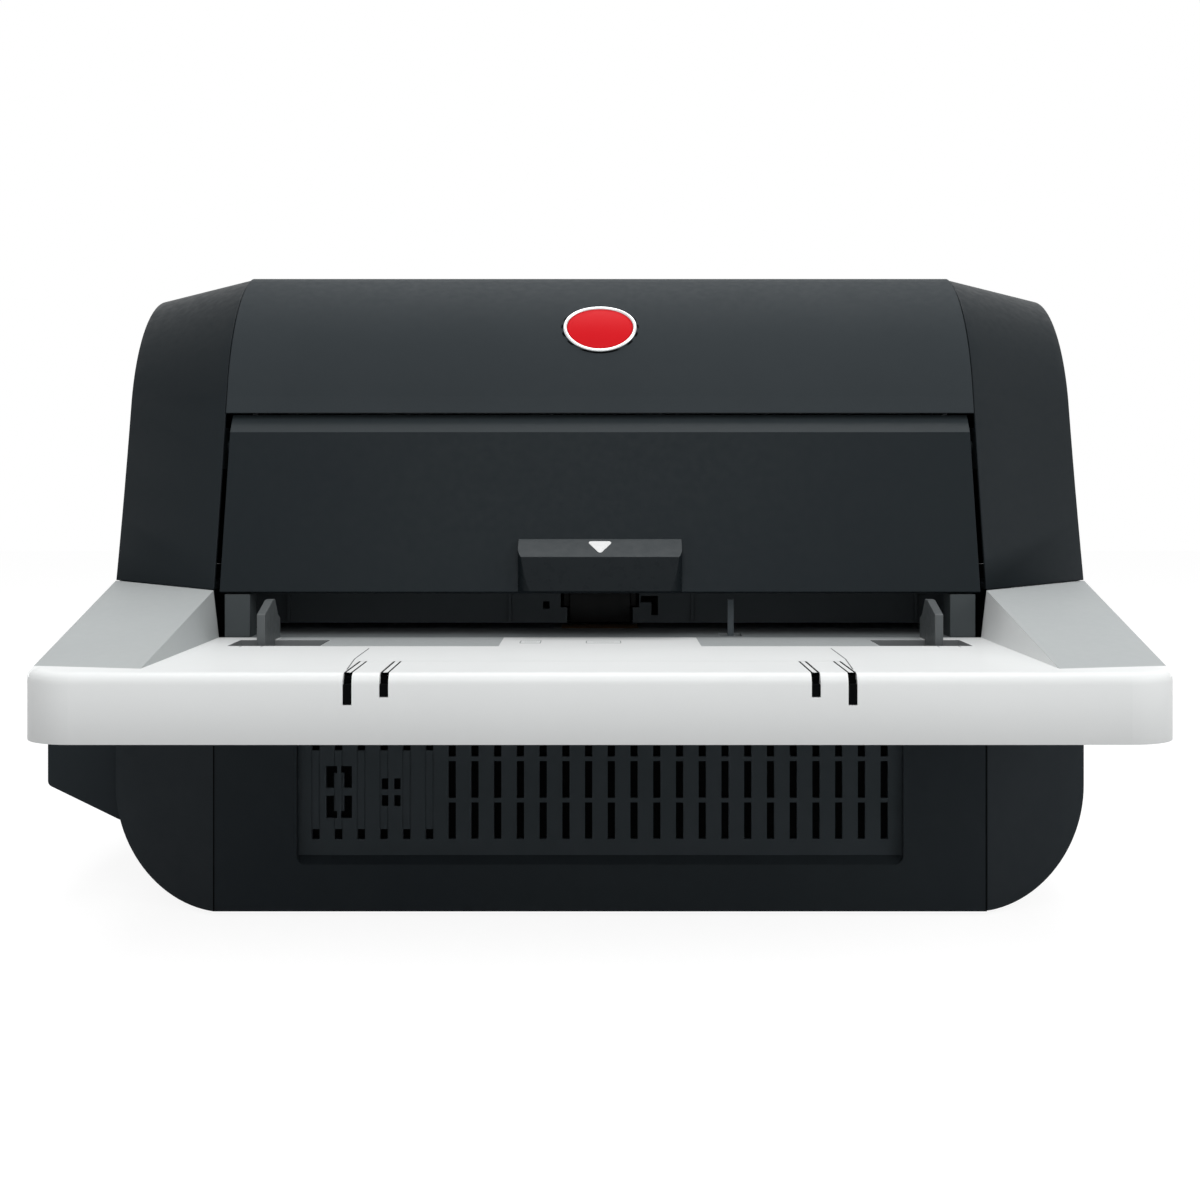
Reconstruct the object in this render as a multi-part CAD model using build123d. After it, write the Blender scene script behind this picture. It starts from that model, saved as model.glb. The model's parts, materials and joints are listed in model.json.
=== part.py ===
from build123d import *
from math import acos, atan2, cos, degrees, hypot, pi, radians, sin, sqrt, tan
import os

# Sheet-fed desktop laminator, one solid piece per node, in millimetres with +Z up.
# Machine axes: x = 0 on the centre plane with +x to the right, y = 0 at the feed tray's size marks with
# +y to the back, z = 0 on the table. Each piece is moved once, at export, so that the origin lies on
# the table under the middle of the machine's box.

# ---- Driving dimensions: casing ------------------------------------------------------------------------
SHEET_WIDTH = 306.0  # widest film, and the throat between its posts
SEAM_MARGIN = 16.0  # from the film's edge to the seam of the centre casings
CHEEK_WIDTH = 51.0  # width of each side casing
SWEEP = 28.0  # how far the side casings fall back over their width
BASE_FRONT = 47.0  # front plane of the base, where the door's foot stands
BODY_BACK = 255.0  # back plane of the casings
HOOD_TOP = 289.0  # top of the hood
CHEEK_DROP = 8.5  # how much lower a side casing ends at its outer edge
WALL = 2.5  # moulded wall
GAP = 0.3  # seam between neighbouring casings
HOOD_RADIUS = 81.5  # the hood's front curve
CROWN_RADIUS = 41.5  # the smaller curve where the front runs into the flat top
REAR_RADIUS = 46.0  # the hood's rear curve
BROW_DROP = 60.7  # from the top down to where the front curve starts
LIP_DROP = 68.5  # from the top down to the hood's lower front edge
LIP_LEAN = 0.31  # forward lean of the strip below the front curve, y over z
BASE_RAISE = 1.5  # gap between the casings and the table
CORNER_RADIUS = 50.0  # lower outer corner of the base

# ---- Driving dimensions: feed tray ---------------------------------------------------------------------
TRAY_TOP = 121.3  # sheet surface of the tray
TRAY_BAND = 25.3  # height of the tray's front band
TRAY_FRONT = -92.0  # front face of the tray
TRAY_CORNER = 20.0  # plan radius of the tray's front corners
TRAY_EDGE = 4.0  # rounding of the front band's top edge
TRAY_FLARE = 13.0  # how much narrower each side of the tray is at the front
WING_INSET = 2.5  # from the seam to the foot of the wing's inner wall
WING_DRAFT = 0.122  # lean of that wall, x over z
WING_SLOPE = 0.16668  # rise of the wing's top towards the back
WING_FALL = 0.03857  # fall of the wing's top towards the outside
WING_BACK = 20.5  # height of the wing above the tray where it meets the hood
EXTENSION_HALF = 88.0  # half width of the outer pull-out stage
EXTENSION_STEP = 13.0  # how much narrower the inner stage is on each side
EXTENSION_SLOT = 3.2  # slot beside each stage
EXTENSION_LIP = 41.7  # length of a stage's visible top
EXTENSION_DROP = 11.3  # height of a stage's front
EXTENSION_TRAVEL = 60.0  # how far each stage pulls out
EXTENSION_HOLD = 72.0  # length of a stage's plate that stays in the tray when it is out
GUIDE_REST = 139.7  # inner face of a paper guide
GUIDE_PLATE = 3.5  # thickness of a guide
GUIDE_OUT = 9.0  # travel of a guide outwards
GUIDE_IN = 20.0  # travel of a guide inwards
GUIDE_Y = 24.0  # middle of the guide, where the pinion stands
GUIDE_HEIGHT = 17.7
GUIDE_PIN = 3.0  # post of the pinion
POCKET_DEPTH = 2.5  # depth of the track that a guide slides in
POCKET_FRONT, POCKET_REAR = 8.6, 35.0
GLIDE_INNER, GLIDE_OUTER, GLIDE_FRONT = 42.0, 114.8, 8.0
GLIDE_SINK = 1.7  # how far the glide plates lie below the sheet surface

# ---- Driving dimensions: throat, door and drive --------------------------------------------------------
THROAT_HEIGHT = 18.9  # height of the posts beside the throat
FEEDER_WALL = 95.0  # front face of the feeder wall
SHEET_SLOT = 2.5  # height of the slot that takes the sheet in
WINDOW_HALF = 15.3  # window of the pick-up roller
WINDOW_HEIGHT = 13.7
LEVER_X, LEVER_Y = 58.0, 59.0  # sheet sensor lever
LEVER_SINK = 8.3  # its pin, below the sheet surface
LEVER_PIN = 1.5
DOOR_GAP = 2.6  # from the door's side edge to the seam
DOOR_HEIGHT = 70.5
DOOR_LEAN = 0.2936  # lean of the door's face, y over z
DOOR_CHAMFER = (6.3, 8.0)  # depth and height of the strip along the door's top
DOOR_WALL = 3.0
DOOR_PIN = 3.0
DOOR_PIVOT_SET = (10.3, -6.8)  # from the chamfer's lower edge to the pins, where the top clears the hood
GRIP_HALF = 36.0
GRIP_HEIGHT = 22.4
GRIP_REACH = 6.5  # how far the grip stands out in front of the door's foot
GRIP_ROUND = 8.5
GRIP_BEVEL = (3.2, 7.0)  # depth and height of the bevel on the grip's top
NIP = 0.3  # gap between two rollers
FEED_Y, HEAT_Y, EXIT_Y = 140.0, 178.0, 216.0
SMALL_ROLLER, HEAT_ROLLER = 10.0, 15.0
HEATER_BORE, HEATER_ROD = 3.6, 3.0
PICKUP_RADIUS, PICKUP_PIN, PICKUP_SHAFT = 11.0, 2.0, 3.0
ROLLER_JOURNAL = 5.0
FIT = 0.05  # radial running clearance of every shaft
GEAR_SEAT = 0.02  # radial clearance of a gear that is fixed on its shaft
FRAME_PLATE = 2.5
MODULE = 1.0
GEAR_WIDTH = 6.0
GEAR_BACKLASH = 0.16
PRESSURE_ANGLE = radians(20)
ROOT_DEPTH, TIP_HEIGHT = 1.2 * MODULE, 0.9 * MODULE  # of a tooth, from its pitch line
IDLER_TEETH, MOTOR_TEETH, RACK_TEETH = 24, 18, 20
IDLER_AXLE = 3.0
MOTOR_RADIUS, MOTOR_SHAFT = 15.0, 3.0
SHEET = 2.5  # thickness of plates and brackets
FOOT_RADIUS, FOOT_HEIGHT = 9.0, 3.0
BULGE = 32.0  # how far the gearbox cover stands out on the left
BULGE_LOW, BULGE_HIGH = 35.0, 100.0
BULGE_FRONT, BULGE_BACK = 78.0, 235.0
FILM_RADIUS, LOWER_FILM_RADIUS, FILM_JOURNAL = 30.0, 24.0, 6.0
LOWER_FILM, UPPER_FILM = (132.0, 60.0), (140.0, 205.0)  # middle of each film roll, (y, z)
CARTRIDGE_PLATE, CARTRIDGE_BAR = 3.4, 3.5

# ---- Driving dimensions: vent field of the base's front ------------------------------------------------
VENT_HALF, VENT_FOOT, VENT_RECESS = 132.7, 22.0, 4.0
VENT_PITCH, VENT_WIDTH, VENT_COUNT, VENT_PLAIN = 10.0, 3.2, 26, 6
VENT_ROWS = ((32.4, 48.4), (50.4, 66.6), (68.6, 84.8))  # low and high end of each row of slots
SMALL_ROWS = ((32.3, 36.7), (71.3, 75.5))
BRACKET = (-120.4, -109.1, 41.6, 64.4, 3.4)  # left, right, low, high, stroke
BRACKET_SPLIT = (51.4, 54.8)
SQUARES = (-96.0, -87.7, 46.8, 59.0, 2.6)  # left, right, low, high, gap
GROOVE_DEPTH, GROOVE_WIDTH = 0.3, 0.5

# ---- Driving dimensions: back, badge and controls ------------------------------------------------------
REAR_TOP = 149.7
EXIT_LOW, EXIT_HIGH = 113.0, 133.0
FAN_X, FAN_Z, FAN_HALF, FAN_RADIUS = -30.0, 76.0, 30.0, 27.0
FAN_DEPTH, FAN_HUB, FAN_PIN, FAN_BLADES = 15.0, 9.0, 2.0, 7
GRILLE_PITCH, GRILLE_SLOT = 7.0, 3.6
INLET_X, INLET_Z = 118.0, 34.0
INLET_SIZE = (58.0, 30.0)
INLET_FLANGE = 2.0
SOCKET_X, SOCKET_HALF, SOCKET_TALL, SOCKET_DEPTH = -9.0, 12.0, 8.2, 15.0  # from the inlet's middle
ROCKER_OFFSET, ROCKER_HALF, ROCKER_PIN = 19.0, 4.7, 1.5
BADGE_WIDTH, BADGE_LENGTH, BADGE_RIM = 34.3, 28.2, 1.5
BADGE_ANGLE = radians(142.0)  # direction of the badge from the middle of the hood's front curve
PANEL_HALF, PANEL_FRONT, PANEL_BACK = 60.0, 156.0, 192.0
DISPLAY = (-50.0, -8.0, 9.0, 1.2)  # left, right, half height and depth of the window's recess
BUTTON_PLACES = {"power": 12.0, "speed": 28.0, "start": 44.0}
BUTTON_HALF = 4.5

# ---- Worked out from them ------------------------------------------------------------------------------
SHEET_HALF = SHEET_WIDTH / 2
SEAM_HALF = SHEET_HALF + SEAM_MARGIN
BODY_HALF = SEAM_HALF + CHEEK_WIDTH
FRAME_INNER = SHEET_HALF + 7.0
FRAME_OUTER = FRAME_INNER + FRAME_PLATE
TRAY_BOTTOM = TRAY_TOP - TRAY_BAND
TRAY_BACK = BASE_FRONT + 0.5
BASE_TOP = TRAY_BOTTOM - GAP
DOOR_FOOT = TRAY_TOP + WING_BACK - 0.5
DOOR_HALF = SEAM_HALF - DOOR_GAP
DOOR_KNEE = (BASE_FRONT + DOOR_LEAN * DOOR_HEIGHT, DOOR_FOOT + DOOR_HEIGHT)
DOOR_PIVOT = (DOOR_KNEE[0] + DOOR_PIVOT_SET[0], DOOR_KNEE[1] + DOOR_PIVOT_SET[1])
BAND_BACK = BASE_FRONT + SWEEP + 160.0
CASE_SPLIT = TRAY_TOP + 22.9
ARC_Y, ARC_Z = 152.2, HOOD_TOP - 78.6
GEAR_X = -FRAME_OUTER - 2.5
GEAR_REACH = GEAR_WIDTH + 3.0
PATH_Z = TRAY_TOP - 0.15
FEED_Z = PATH_Z - NIP / 2 - SMALL_ROLLER
HEAT_Z = PATH_Z - NIP / 2 - HEAT_ROLLER
FEED_LOW, FEED_HIGH = (FEED_Y, FEED_Z), (FEED_Y, FEED_Z + 2 * SMALL_ROLLER + NIP)
HEAT_LOW, HEAT_HIGH = (HEAT_Y, HEAT_Z), (HEAT_Y, HEAT_Z + 2 * HEAT_ROLLER + NIP)
EXIT_AXLE_LOW, EXIT_AXLE_HIGH = (EXIT_Y, FEED_Z), (EXIT_Y, FEED_Z + 2 * SMALL_ROLLER + NIP)
PICKUP_PIVOT, PICKUP_AXLE = (128.0, TRAY_TOP + 29), (109.5, TRAY_TOP + 12.6)
SMALL_TEETH, HEAT_TEETH = round(2 * SMALL_ROLLER / MODULE), round(2 * HEAT_ROLLER / MODULE)
FRAME_FRONT, FRAME_BACK = FEEDER_WALL + WALL + GAP, BODY_BACK - 17
POCKET_INNER = GUIDE_REST - GUIDE_IN - 3.7
POCKET_OUTER = GUIDE_REST + GUIDE_PLATE + GUIDE_OUT + 2.8
RACK_LOW = TRAY_BOTTOM + 5.0
RACK_HIGH = RACK_LOW + 4.0
PINION_RADIUS = MODULE * RACK_TEETH / 2
FOOT_X, FOOT_FRONT, FOOT_BACK = SHEET_HALF - 13, 68.0, BODY_BACK - 20
LEDGE_FRONT, LEDGE_HALF = BASE_FRONT + 0.8, SHEET_HALF + 11.4
LEVER_Z = TRAY_TOP - LEVER_SINK
ROCKER_X = INLET_X + ROCKER_OFFSET
BUTTON_Y = (PANEL_FRONT + PANEL_BACK) / 2
ROW_SHIFT = Location((BULGE / 2, -(BODY_BACK + INLET_FLANGE + TRAY_FRONT) / 2, 0))


# ---- Small shape helpers -------------------------------------------------------------------------------
def box(x0, x1, y0, y1, z0, z1):
    """Box between two corners."""
    return Pos((x0 + x1) / 2, (y0 + y1) / 2, (z0 + z1) / 2) * Box(x1 - x0, y1 - y0, z1 - z0)


def rod_x(radius, x0, x1, y, z):
    """Cylinder along x."""
    return Pos((x0 + x1) / 2, y, z) * Rot(0, 90, 0) * Cylinder(radius, x1 - x0)


def rod_y(radius, y0, y1, x, z):
    """Cylinder along y."""
    return Pos(x, (y0 + y1) / 2, z) * Rot(90, 0, 0) * Cylinder(radius, y1 - y0)


def rod_z(radius, z0, z1, x, y):
    """Cylinder along z."""
    return Pos(x, y, (z0 + z1) / 2) * Cylinder(radius, z1 - z0)


def side_prism(face, x0, x1):
    """Section drawn in (y, z), pulled from x0 to x1."""
    return extrude(Plane.YZ.offset(x0) * face, amount=x1 - x0)


def plan_prism(face, z0, z1):
    """Section drawn in (x, y), pulled from z0 to z1."""
    return extrude(Plane.XY.offset(z0) * face, amount=z1 - z0)


def front_prism(face, y0, y1):
    """Section drawn in (x, z), pulled from y0 to y1."""
    return extrude(Plane.XZ.offset(-y1) * face, amount=y1 - y0)


def outline(*points):
    """Straight-sided face through the points."""
    return make_face(Polyline(*points, close=True))


def both(right):
    """A right-hand piece and its mirror image as one group."""
    return Compound([*right.solids(), *mirror(right, about=Plane.YZ).solids()])


def strip(points, wall):
    """Bent sheet of even thickness: the points are its outer line and the wall lies on their right."""
    normals = []
    for (y0, z0), (y1, z1) in zip(points, points[1:]):
        length = hypot(y1 - y0, z1 - z0)
        normals.append(((z1 - z0) / length, -(y1 - y0) / length))
    inner = []
    for index, (y, z) in enumerate(points):
        before, after = normals[max(index - 1, 0)], normals[min(index, len(normals) - 1)]
        spread = 1 + before[0] * after[0] + before[1] * after[1]
        dy, dz = (before[0] + after[0]) / spread, (before[1] + after[1]) / spread
        inner.append((y + wall * dy, z + wall * dz))
    return outline(*points, *reversed(inner))


def meshed_centre(first, first_reach, second, second_reach, side):
    """Centre of a gear that meshes with two others, below (side -1) or above (side 1) their line."""
    dy, dz = second[0] - first[0], second[1] - first[1]
    span = hypot(dy, dz)
    along = (first_reach**2 - second_reach**2 + span**2) / (2 * span)
    off = side * sqrt(first_reach**2 - along**2)
    return (first[0] + (along * dy - off * dz) / span, first[1] + (along * dz + off * dy) / span)


def gear_face(teeth, turn):
    """Involute spur gear section about the origin, with a tooth centred at the angle turn, in degrees."""
    pitch = MODULE * teeth / 2
    base = pitch * cos(PRESSURE_ANGLE)
    root, tip = pitch - ROOT_DEPTH, pitch + TIP_HEIGHT

    def half_angle(radius):
        pressure = acos(min(1.0, base / max(radius, base)))
        involute = tan(pressure) - pressure
        flat = tan(PRESSURE_ANGLE) - PRESSURE_ANGLE
        return pi / (2 * teeth) - GEAR_BACKLASH / (2 * pitch) + flat - involute

    radii = [root, max(base, root + 0.05), pitch, pitch + 0.5 * MODULE, tip]
    points = []
    for tooth in range(teeth):
        middle = radians(turn) + 2 * pi * tooth / teeth
        flank = [(radius, middle - half_angle(radius)) for radius in radii]
        flank += [(radius, middle + half_angle(radius)) for radius in reversed(radii)]
        points += [(radius * cos(angle), radius * sin(angle)) for radius, angle in flank]
    return outline(*points)


def meshed_turn(turn, teeth, centre, next_teeth, next_centre):
    """Angle of the next gear's tooth, in degrees, so that it meshes with a gear standing at turn."""
    line = degrees(atan2(next_centre[1] - centre[1], next_centre[0] - centre[0]))
    return line + 180 + (180 - teeth * (turn - line)) / next_teeth


def spur(teeth, turn, centre, bore):
    """Gear of the roller train, on an axle along x."""
    section = Pos(*centre) * gear_face(teeth, turn) - Pos(*centre) * Circle(bore)
    return side_prism(section, GEAR_X - GEAR_WIDTH, GEAR_X)


# ---- Casing --------------------------------------------------------------------------------------------
def hood_section(inset):
    """Side section of the hood, closed down to the throat, drawn inset from its outer face."""
    radius, crown, rear = HOOD_RADIUS - inset, CROWN_RADIUS - inset, REAR_RADIUS - inset
    brow_z = HOOD_TOP - BROW_DROP
    low_angle = pi - atan2(brow_z - ARC_Z, sqrt(HOOD_RADIUS**2 - (brow_z - ARC_Z) ** 2))
    crown_z = HOOD_TOP - CROWN_RADIUS
    lean = acos((crown_z - ARC_Z) / (HOOD_RADIUS - CROWN_RADIUS))
    high_angle = pi / 2 + lean
    crown_y = ARC_Y + (HOOD_RADIUS - CROWN_RADIUS) * cos(high_angle)

    def on_arc(angle):
        return (ARC_Y + radius * cos(angle), ARC_Z + radius * sin(angle))

    def on_crown(angle):
        return (crown_y + crown * cos(angle), crown_z + crown * sin(angle))

    start, foot_z = on_arc(low_angle), TRAY_TOP
    foot = (start[0] - LIP_LEAN * (start[1] - foot_z), foot_z)
    rear_y, rear_z = BODY_BACK - REAR_RADIUS, HOOD_TOP - REAR_RADIUS
    half, back = radians(45), (rear_y + rear, rear_z)
    bend = (rear_y + rear * cos(half), rear_z + rear * sin(half))
    edges = [
        Line(foot, start),
        ThreePointArc(start, on_arc((low_angle + high_angle) / 2), on_arc(high_angle)),
        ThreePointArc(on_crown(high_angle), on_crown((high_angle + pi / 2) / 2), on_crown(pi / 2)),
        Line(on_crown(pi / 2), (rear_y, HOOD_TOP - inset)),
        ThreePointArc((rear_y, HOOD_TOP - inset), bend, back),
        Line(back, (back[0], foot_z)),
        Line((back[0], foot_z), foot),
    ]
    return make_face(edges)


def hood():
    """Curved centre hood: front lip, top and upper back, with the control panel's opening."""
    half = SEAM_HALF - GAP / 2
    shell = side_prism(hood_section(0), -half, half) - side_prism(hood_section(WALL), -half - 1, half + 1)
    shell -= box(-half - 1, half + 1, 0, BODY_BACK - 40, 0, HOOD_TOP - LIP_DROP)
    shell -= box(-half - 1, half + 1, 0, BODY_BACK + 1, 0, REAR_TOP + GAP)
    return shell - box(-PANEL_HALF, PANEL_HALF, PANEL_FRONT, PANEL_BACK, HOOD_TOP - 10, HOOD_TOP + 1)


def cheek_section(outer):
    """Side section of a hood cheek at the seam, or at its outer edge, as six edges."""
    top = HOOD_TOP - (CHEEK_DROP if outer else 0)
    shift = SWEEP if outer else 0
    back = BODY_BACK - (10 if outer else 0)
    foot_z = CASE_SPLIT + GAP + (0.3 if outer else -2.4)
    foot = (BASE_FRONT + 0.8 + shift, foot_z)
    brow_z = HOOD_TOP - BROW_DROP
    brow = (ARC_Y - sqrt(HOOD_RADIUS**2 - (brow_z - ARC_Z) ** 2) + shift, brow_z)
    crest = (ARC_Y - 15 + shift * 0.85, top)
    rise = (top - brow[1]) / BROW_DROP
    middle_angle = radians(128)
    middle = (
        ARC_Y + HOOD_RADIUS * cos(middle_angle) + shift,
        brow[1] + (ARC_Z + HOOD_RADIUS * sin(middle_angle) - brow[1]) * rise,
    )
    flank = (foot[0] + (brow[0] - foot[0]) * 0.44, foot[1] + (brow[1] - foot[1]) * 0.41)
    rear = REAR_RADIUS - (6 if outer else 0)
    corner = (back - rear * (1 - sqrt(0.5)), top - rear * (1 - sqrt(0.5)))
    edges = [
        ThreePointArc(foot, flank, brow),
        ThreePointArc(brow, middle, crest),
        Line(crest, (back - rear, top)),
        ThreePointArc((back - rear, top), corner, (back, top - rear)),
        Line((back, top - rear), (back, CASE_SPLIT + 2 * GAP)),
        Line((back, CASE_SPLIT + 2 * GAP), foot),
    ]
    return make_face(edges)


def hood_cheek():
    """Right side casing above the tray: a swept shell with the door's bearing plate inside."""
    inner_x = SEAM_HALF + GAP / 2
    near, far = cheek_section(False), cheek_section(True)
    outside = loft([Plane.YZ.offset(inner_x) * near, Plane.YZ.offset(BODY_HALF) * far], ruled=True)
    near_in, far_in = (offset(face, -WALL) for face in (near, far))
    mouth, floor = Plane.YZ.offset(inner_x) * near_in, Plane.YZ.offset(BODY_HALF - WALL) * far_in
    shell = outside - loft([mouth, floor], ruled=True)
    y, z = DOOR_PIVOT
    plate = box(inner_x, inner_x + WALL, y - 20, y + 8, z - 10, z + 9) & outside
    front, back = BASE_FRONT + SWEEP + 8, BODY_BACK - 20
    duct = box(inner_x - 1, BODY_HALF - 8, front, back, CASE_SPLIT - 9, CASE_SPLIT + 6)
    return shell - duct + plate - rod_x(DOOR_PIN + FIT, inner_x - 1, inner_x + WALL + 1, y, z)


def side_cover_body(inset):
    """Right side of the base, inset from its outer faces, cut round at the lower outer corner."""
    near, far = SEAM_HALF + GAP / 2 - (1 if inset else 0), BODY_HALF - inset
    front, back = BASE_FRONT + inset, BODY_BACK - inset
    plan = outline((near, front), (far, front + SWEEP), (far, back - 14), (far - 14, back), (near, back))
    middle = 100
    section = Pos((near + far) / 2, middle) * Rectangle(far - near, 2 * (middle - BASE_RAISE - inset))
    round_corner = front_prism(section, front - 1, back + 1)
    lower = round_corner.edges().filter_by(Axis.Y).group_by(Axis.Z)[0].sort_by(Axis.X)[-1]
    return plan_prism(plan, BASE_RAISE + inset, CASE_SPLIT + 5) & fillet(lower, CORNER_RADIUS - inset)


def base_side_cover():
    """Right side cover of the base; its top edge climbs along the tray's side band."""
    shell = side_cover_body(0) - side_cover_body(WALL)
    far = BODY_BACK + HOOD_TOP
    front_top = outline(
        (0, BASE_TOP), (BASE_FRONT + SWEEP, BASE_TOP), (BAND_BACK, CASE_SPLIT), (far, CASE_SPLIT),
        (far, far), (0, far),
    )
    return shell - side_prism(front_top, 0, BODY_HALF + 10)


def base_side_cover_left():
    """Left side cover, open behind the gearbox cover."""
    opening = box(
        -BODY_HALF - 5, -BODY_HALF + 5, BULGE_FRONT + 5, BULGE_BACK - 5, BULGE_LOW + 4, BULGE_HIGH - 2.8
    )
    return mirror(base_side_cover(), about=Plane.YZ) - opening


def bulge_section(inset):
    """Front section of the gearbox cover, sloping out from the side and rounded by short facets."""
    near = -BODY_HALF - GAP + (2 if inset else 0)
    far, high = -BODY_HALF - BULGE + inset, BULGE_HIGH - inset
    low = BULGE_LOW + inset * 1.1
    return outline(
        (near, low), (far + 3.5, low + 10.5), (far, low + 15.5), (far, high - 4), (far + 4, high),
        (near, high),
    )


def gearbox_cover():
    """Cover that stands out on the left side over the drive motor."""
    outside = front_prism(bulge_section(0), BULGE_FRONT, BULGE_BACK)
    return outside - front_prism(bulge_section(WALL), BULGE_FRONT + WALL, BULGE_BACK - WALL)


def vent_column(x, rows):
    """Cutters of one column of slots."""
    front = BASE_FRONT - 1
    return [box(x - VENT_WIDTH / 2, x + VENT_WIDTH / 2, front, front + 12, low, high) for low, high in rows]


def bracket_cutters():
    """Cutters of the pair of square brackets and of the group of four squares beside it."""
    left, right, low, high, stroke = BRACKET
    front, back = BASE_FRONT - 1, BASE_FRONT + 11
    cutters = []
    for z0, z1 in ((low, BRACKET_SPLIT[0]), (BRACKET_SPLIT[1], high)):
        cutters += [box(x, x + stroke, front, back, z0, z1) for x in (left, right - stroke)]
    for x0, x1 in ((left, left + stroke + 1.4), (right - stroke - 1.4, right)):
        cutters += [box(x0, x1, front, back, low, low + 3), box(x0, x1, front, back, high - 3, high)]
    x0, x1, z0, z1, gap = SQUARES
    wide, tall = (x1 - x0 - gap) / 2, (z1 - z0 - gap) / 2
    for x in (x0, x1 - wide):
        cutters += [box(x, x + wide, front, back, z, z + tall) for z in (z0, z1 - tall)]
    return cutters


def base_front_panel():
    """Front of the base with the sunk vent field."""
    half, front = SEAM_HALF - GAP / 2, BASE_FRONT
    window = box(-VENT_HALF, VENT_HALF, front - 1, front + VENT_RECESS, VENT_FOOT, BASE_TOP + 10)
    window = fillet(window.edges().filter_by(Axis.Y).group_by(Axis.Z)[0], 4)
    rim = VENT_HALF + WALL
    panel = box(-half, half, front, front + WALL, BASE_RAISE, BASE_TOP)
    panel += box(-rim, rim, front, front + VENT_RECESS + WALL, VENT_FOOT - WALL, BASE_TOP)
    panel -= window
    back, low = front + VENT_RECESS, VENT_FOOT - 1
    slope = outline((front, low), (back, low), (back, VENT_FOOT + 3.3), (front, VENT_FOOT))
    panel += side_prism(slope, -VENT_HALF, VENT_HALF)
    cutters = bracket_cutters()
    for index in range(VENT_COUNT):
        x = (index - (VENT_COUNT - 1) / 2) * VENT_PITCH
        cutters += vent_column(x, SMALL_ROWS if index < VENT_PLAIN else VENT_ROWS)
        if index < VENT_PLAIN:
            for edge in (x - VENT_WIDTH / 2 - 0.3, x + VENT_WIDTH / 2 - 0.2):
                groove = (edge, edge + GROOVE_WIDTH, front, back + GROOVE_DEPTH)
                cutters.append(box(*groove, VENT_ROWS[0][0], BASE_TOP + 1))
    return panel - cutters


def rear_cover():
    """Back plate with the exit slot, the fan's grille and the power module's cut-out."""
    half = SEAM_HALF - GAP / 2
    y0, y1 = BODY_BACK - WALL, BODY_BACK
    plate = box(-half, half, y0, y1, FOOT_HEIGHT, REAR_TOP)
    plate -= box(-SHEET_HALF - 3, SHEET_HALF + 3, y0 - 1, y1 + 1, EXIT_LOW, EXIT_HIGH)
    for rise in [index * GRILLE_PITCH for index in range(-3, 4)]:
        side, z = sqrt((FAN_RADIUS - 2) ** 2 - rise**2), FAN_Z + rise
        plate -= box(FAN_X - side, FAN_X + side, y0 - 1, y1 + 1, z - GRILLE_SLOT / 2, z + GRILLE_SLOT / 2)
    wide, tall = INLET_SIZE[0] / 2 - 3, INLET_SIZE[1] / 2 - 2
    return plate - box(INLET_X - wide, INLET_X + wide, y0 - 1, y1 + 1, INLET_Z - tall, INLET_Z + tall)


def base_pan():
    """Floor plate of the machine."""
    half, front = SHEET_HALF + 12, BASE_FRONT + VENT_RECESS + WALL + GAP
    return box(-half, half, front, BODY_BACK - WALL - GAP, FOOT_HEIGHT, FOOT_HEIGHT + SHEET)


def rubber_feet():
    """Four feet under the base pan."""
    places = [(x, y) for x in (-FOOT_X, FOOT_X) for y in (FOOT_FRONT, FOOT_BACK)]
    return Compound([rod_z(FOOT_RADIUS, 0, FOOT_HEIGHT, x, y).solid() for x, y in places])


# ---- Feed tray -----------------------------------------------------------------------------------------
def tray_plan(inset):
    """Plan of the tray: rounded front corners, sides flaring to the cheeks, and a swept back edge."""
    front, back = TRAY_FRONT + inset, TRAY_BACK - inset
    near, far = BODY_HALF - TRAY_FLARE - inset, BODY_HALF - inset
    side = back + SWEEP - (inset * 0.4)
    points = [(near, front), (far, side), (SEAM_HALF, back), (-SEAM_HALF, back), (-far, side), (-near, front)]
    plan = outline(*points)
    corners = plan.vertices().group_by(Axis.Y)[0]
    return fillet(corners, TRAY_CORNER - inset)


def wing_block(inset):
    """Both wings above the tray's surface, inset from their faces."""
    foot = SEAM_HALF - WING_INSET + inset
    high = TRAY_TOP + 40
    wall = outline(
        (foot, TRAY_TOP - WALL), (foot + WING_DRAFT * (high - TRAY_TOP), high), (BODY_HALF + 9, high),
        (BODY_HALF + 9, TRAY_TOP - WALL),
    )
    block = front_prism(wall, TRAY_FRONT - 5, TRAY_BACK + SWEEP + 5) & plan_prism(tray_plan(inset), 90, high)
    peak = TRAY_TOP + WING_BACK - inset

    def roof(x, y):
        return (x, y, peak + WING_SLOPE * (y - BASE_FRONT) - WING_FALL * (x - SEAM_HALF))

    corner = Vector(*roof(SEAM_HALF, BASE_FRONT))
    plane = Plane(corner, x_dir=(1, 0, -WING_FALL), z_dir=(WING_FALL, -WING_SLOPE, 1))
    block -= plane * Pos(0, 0, 100) * Box(600, 600, 200)
    return both(block)


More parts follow.
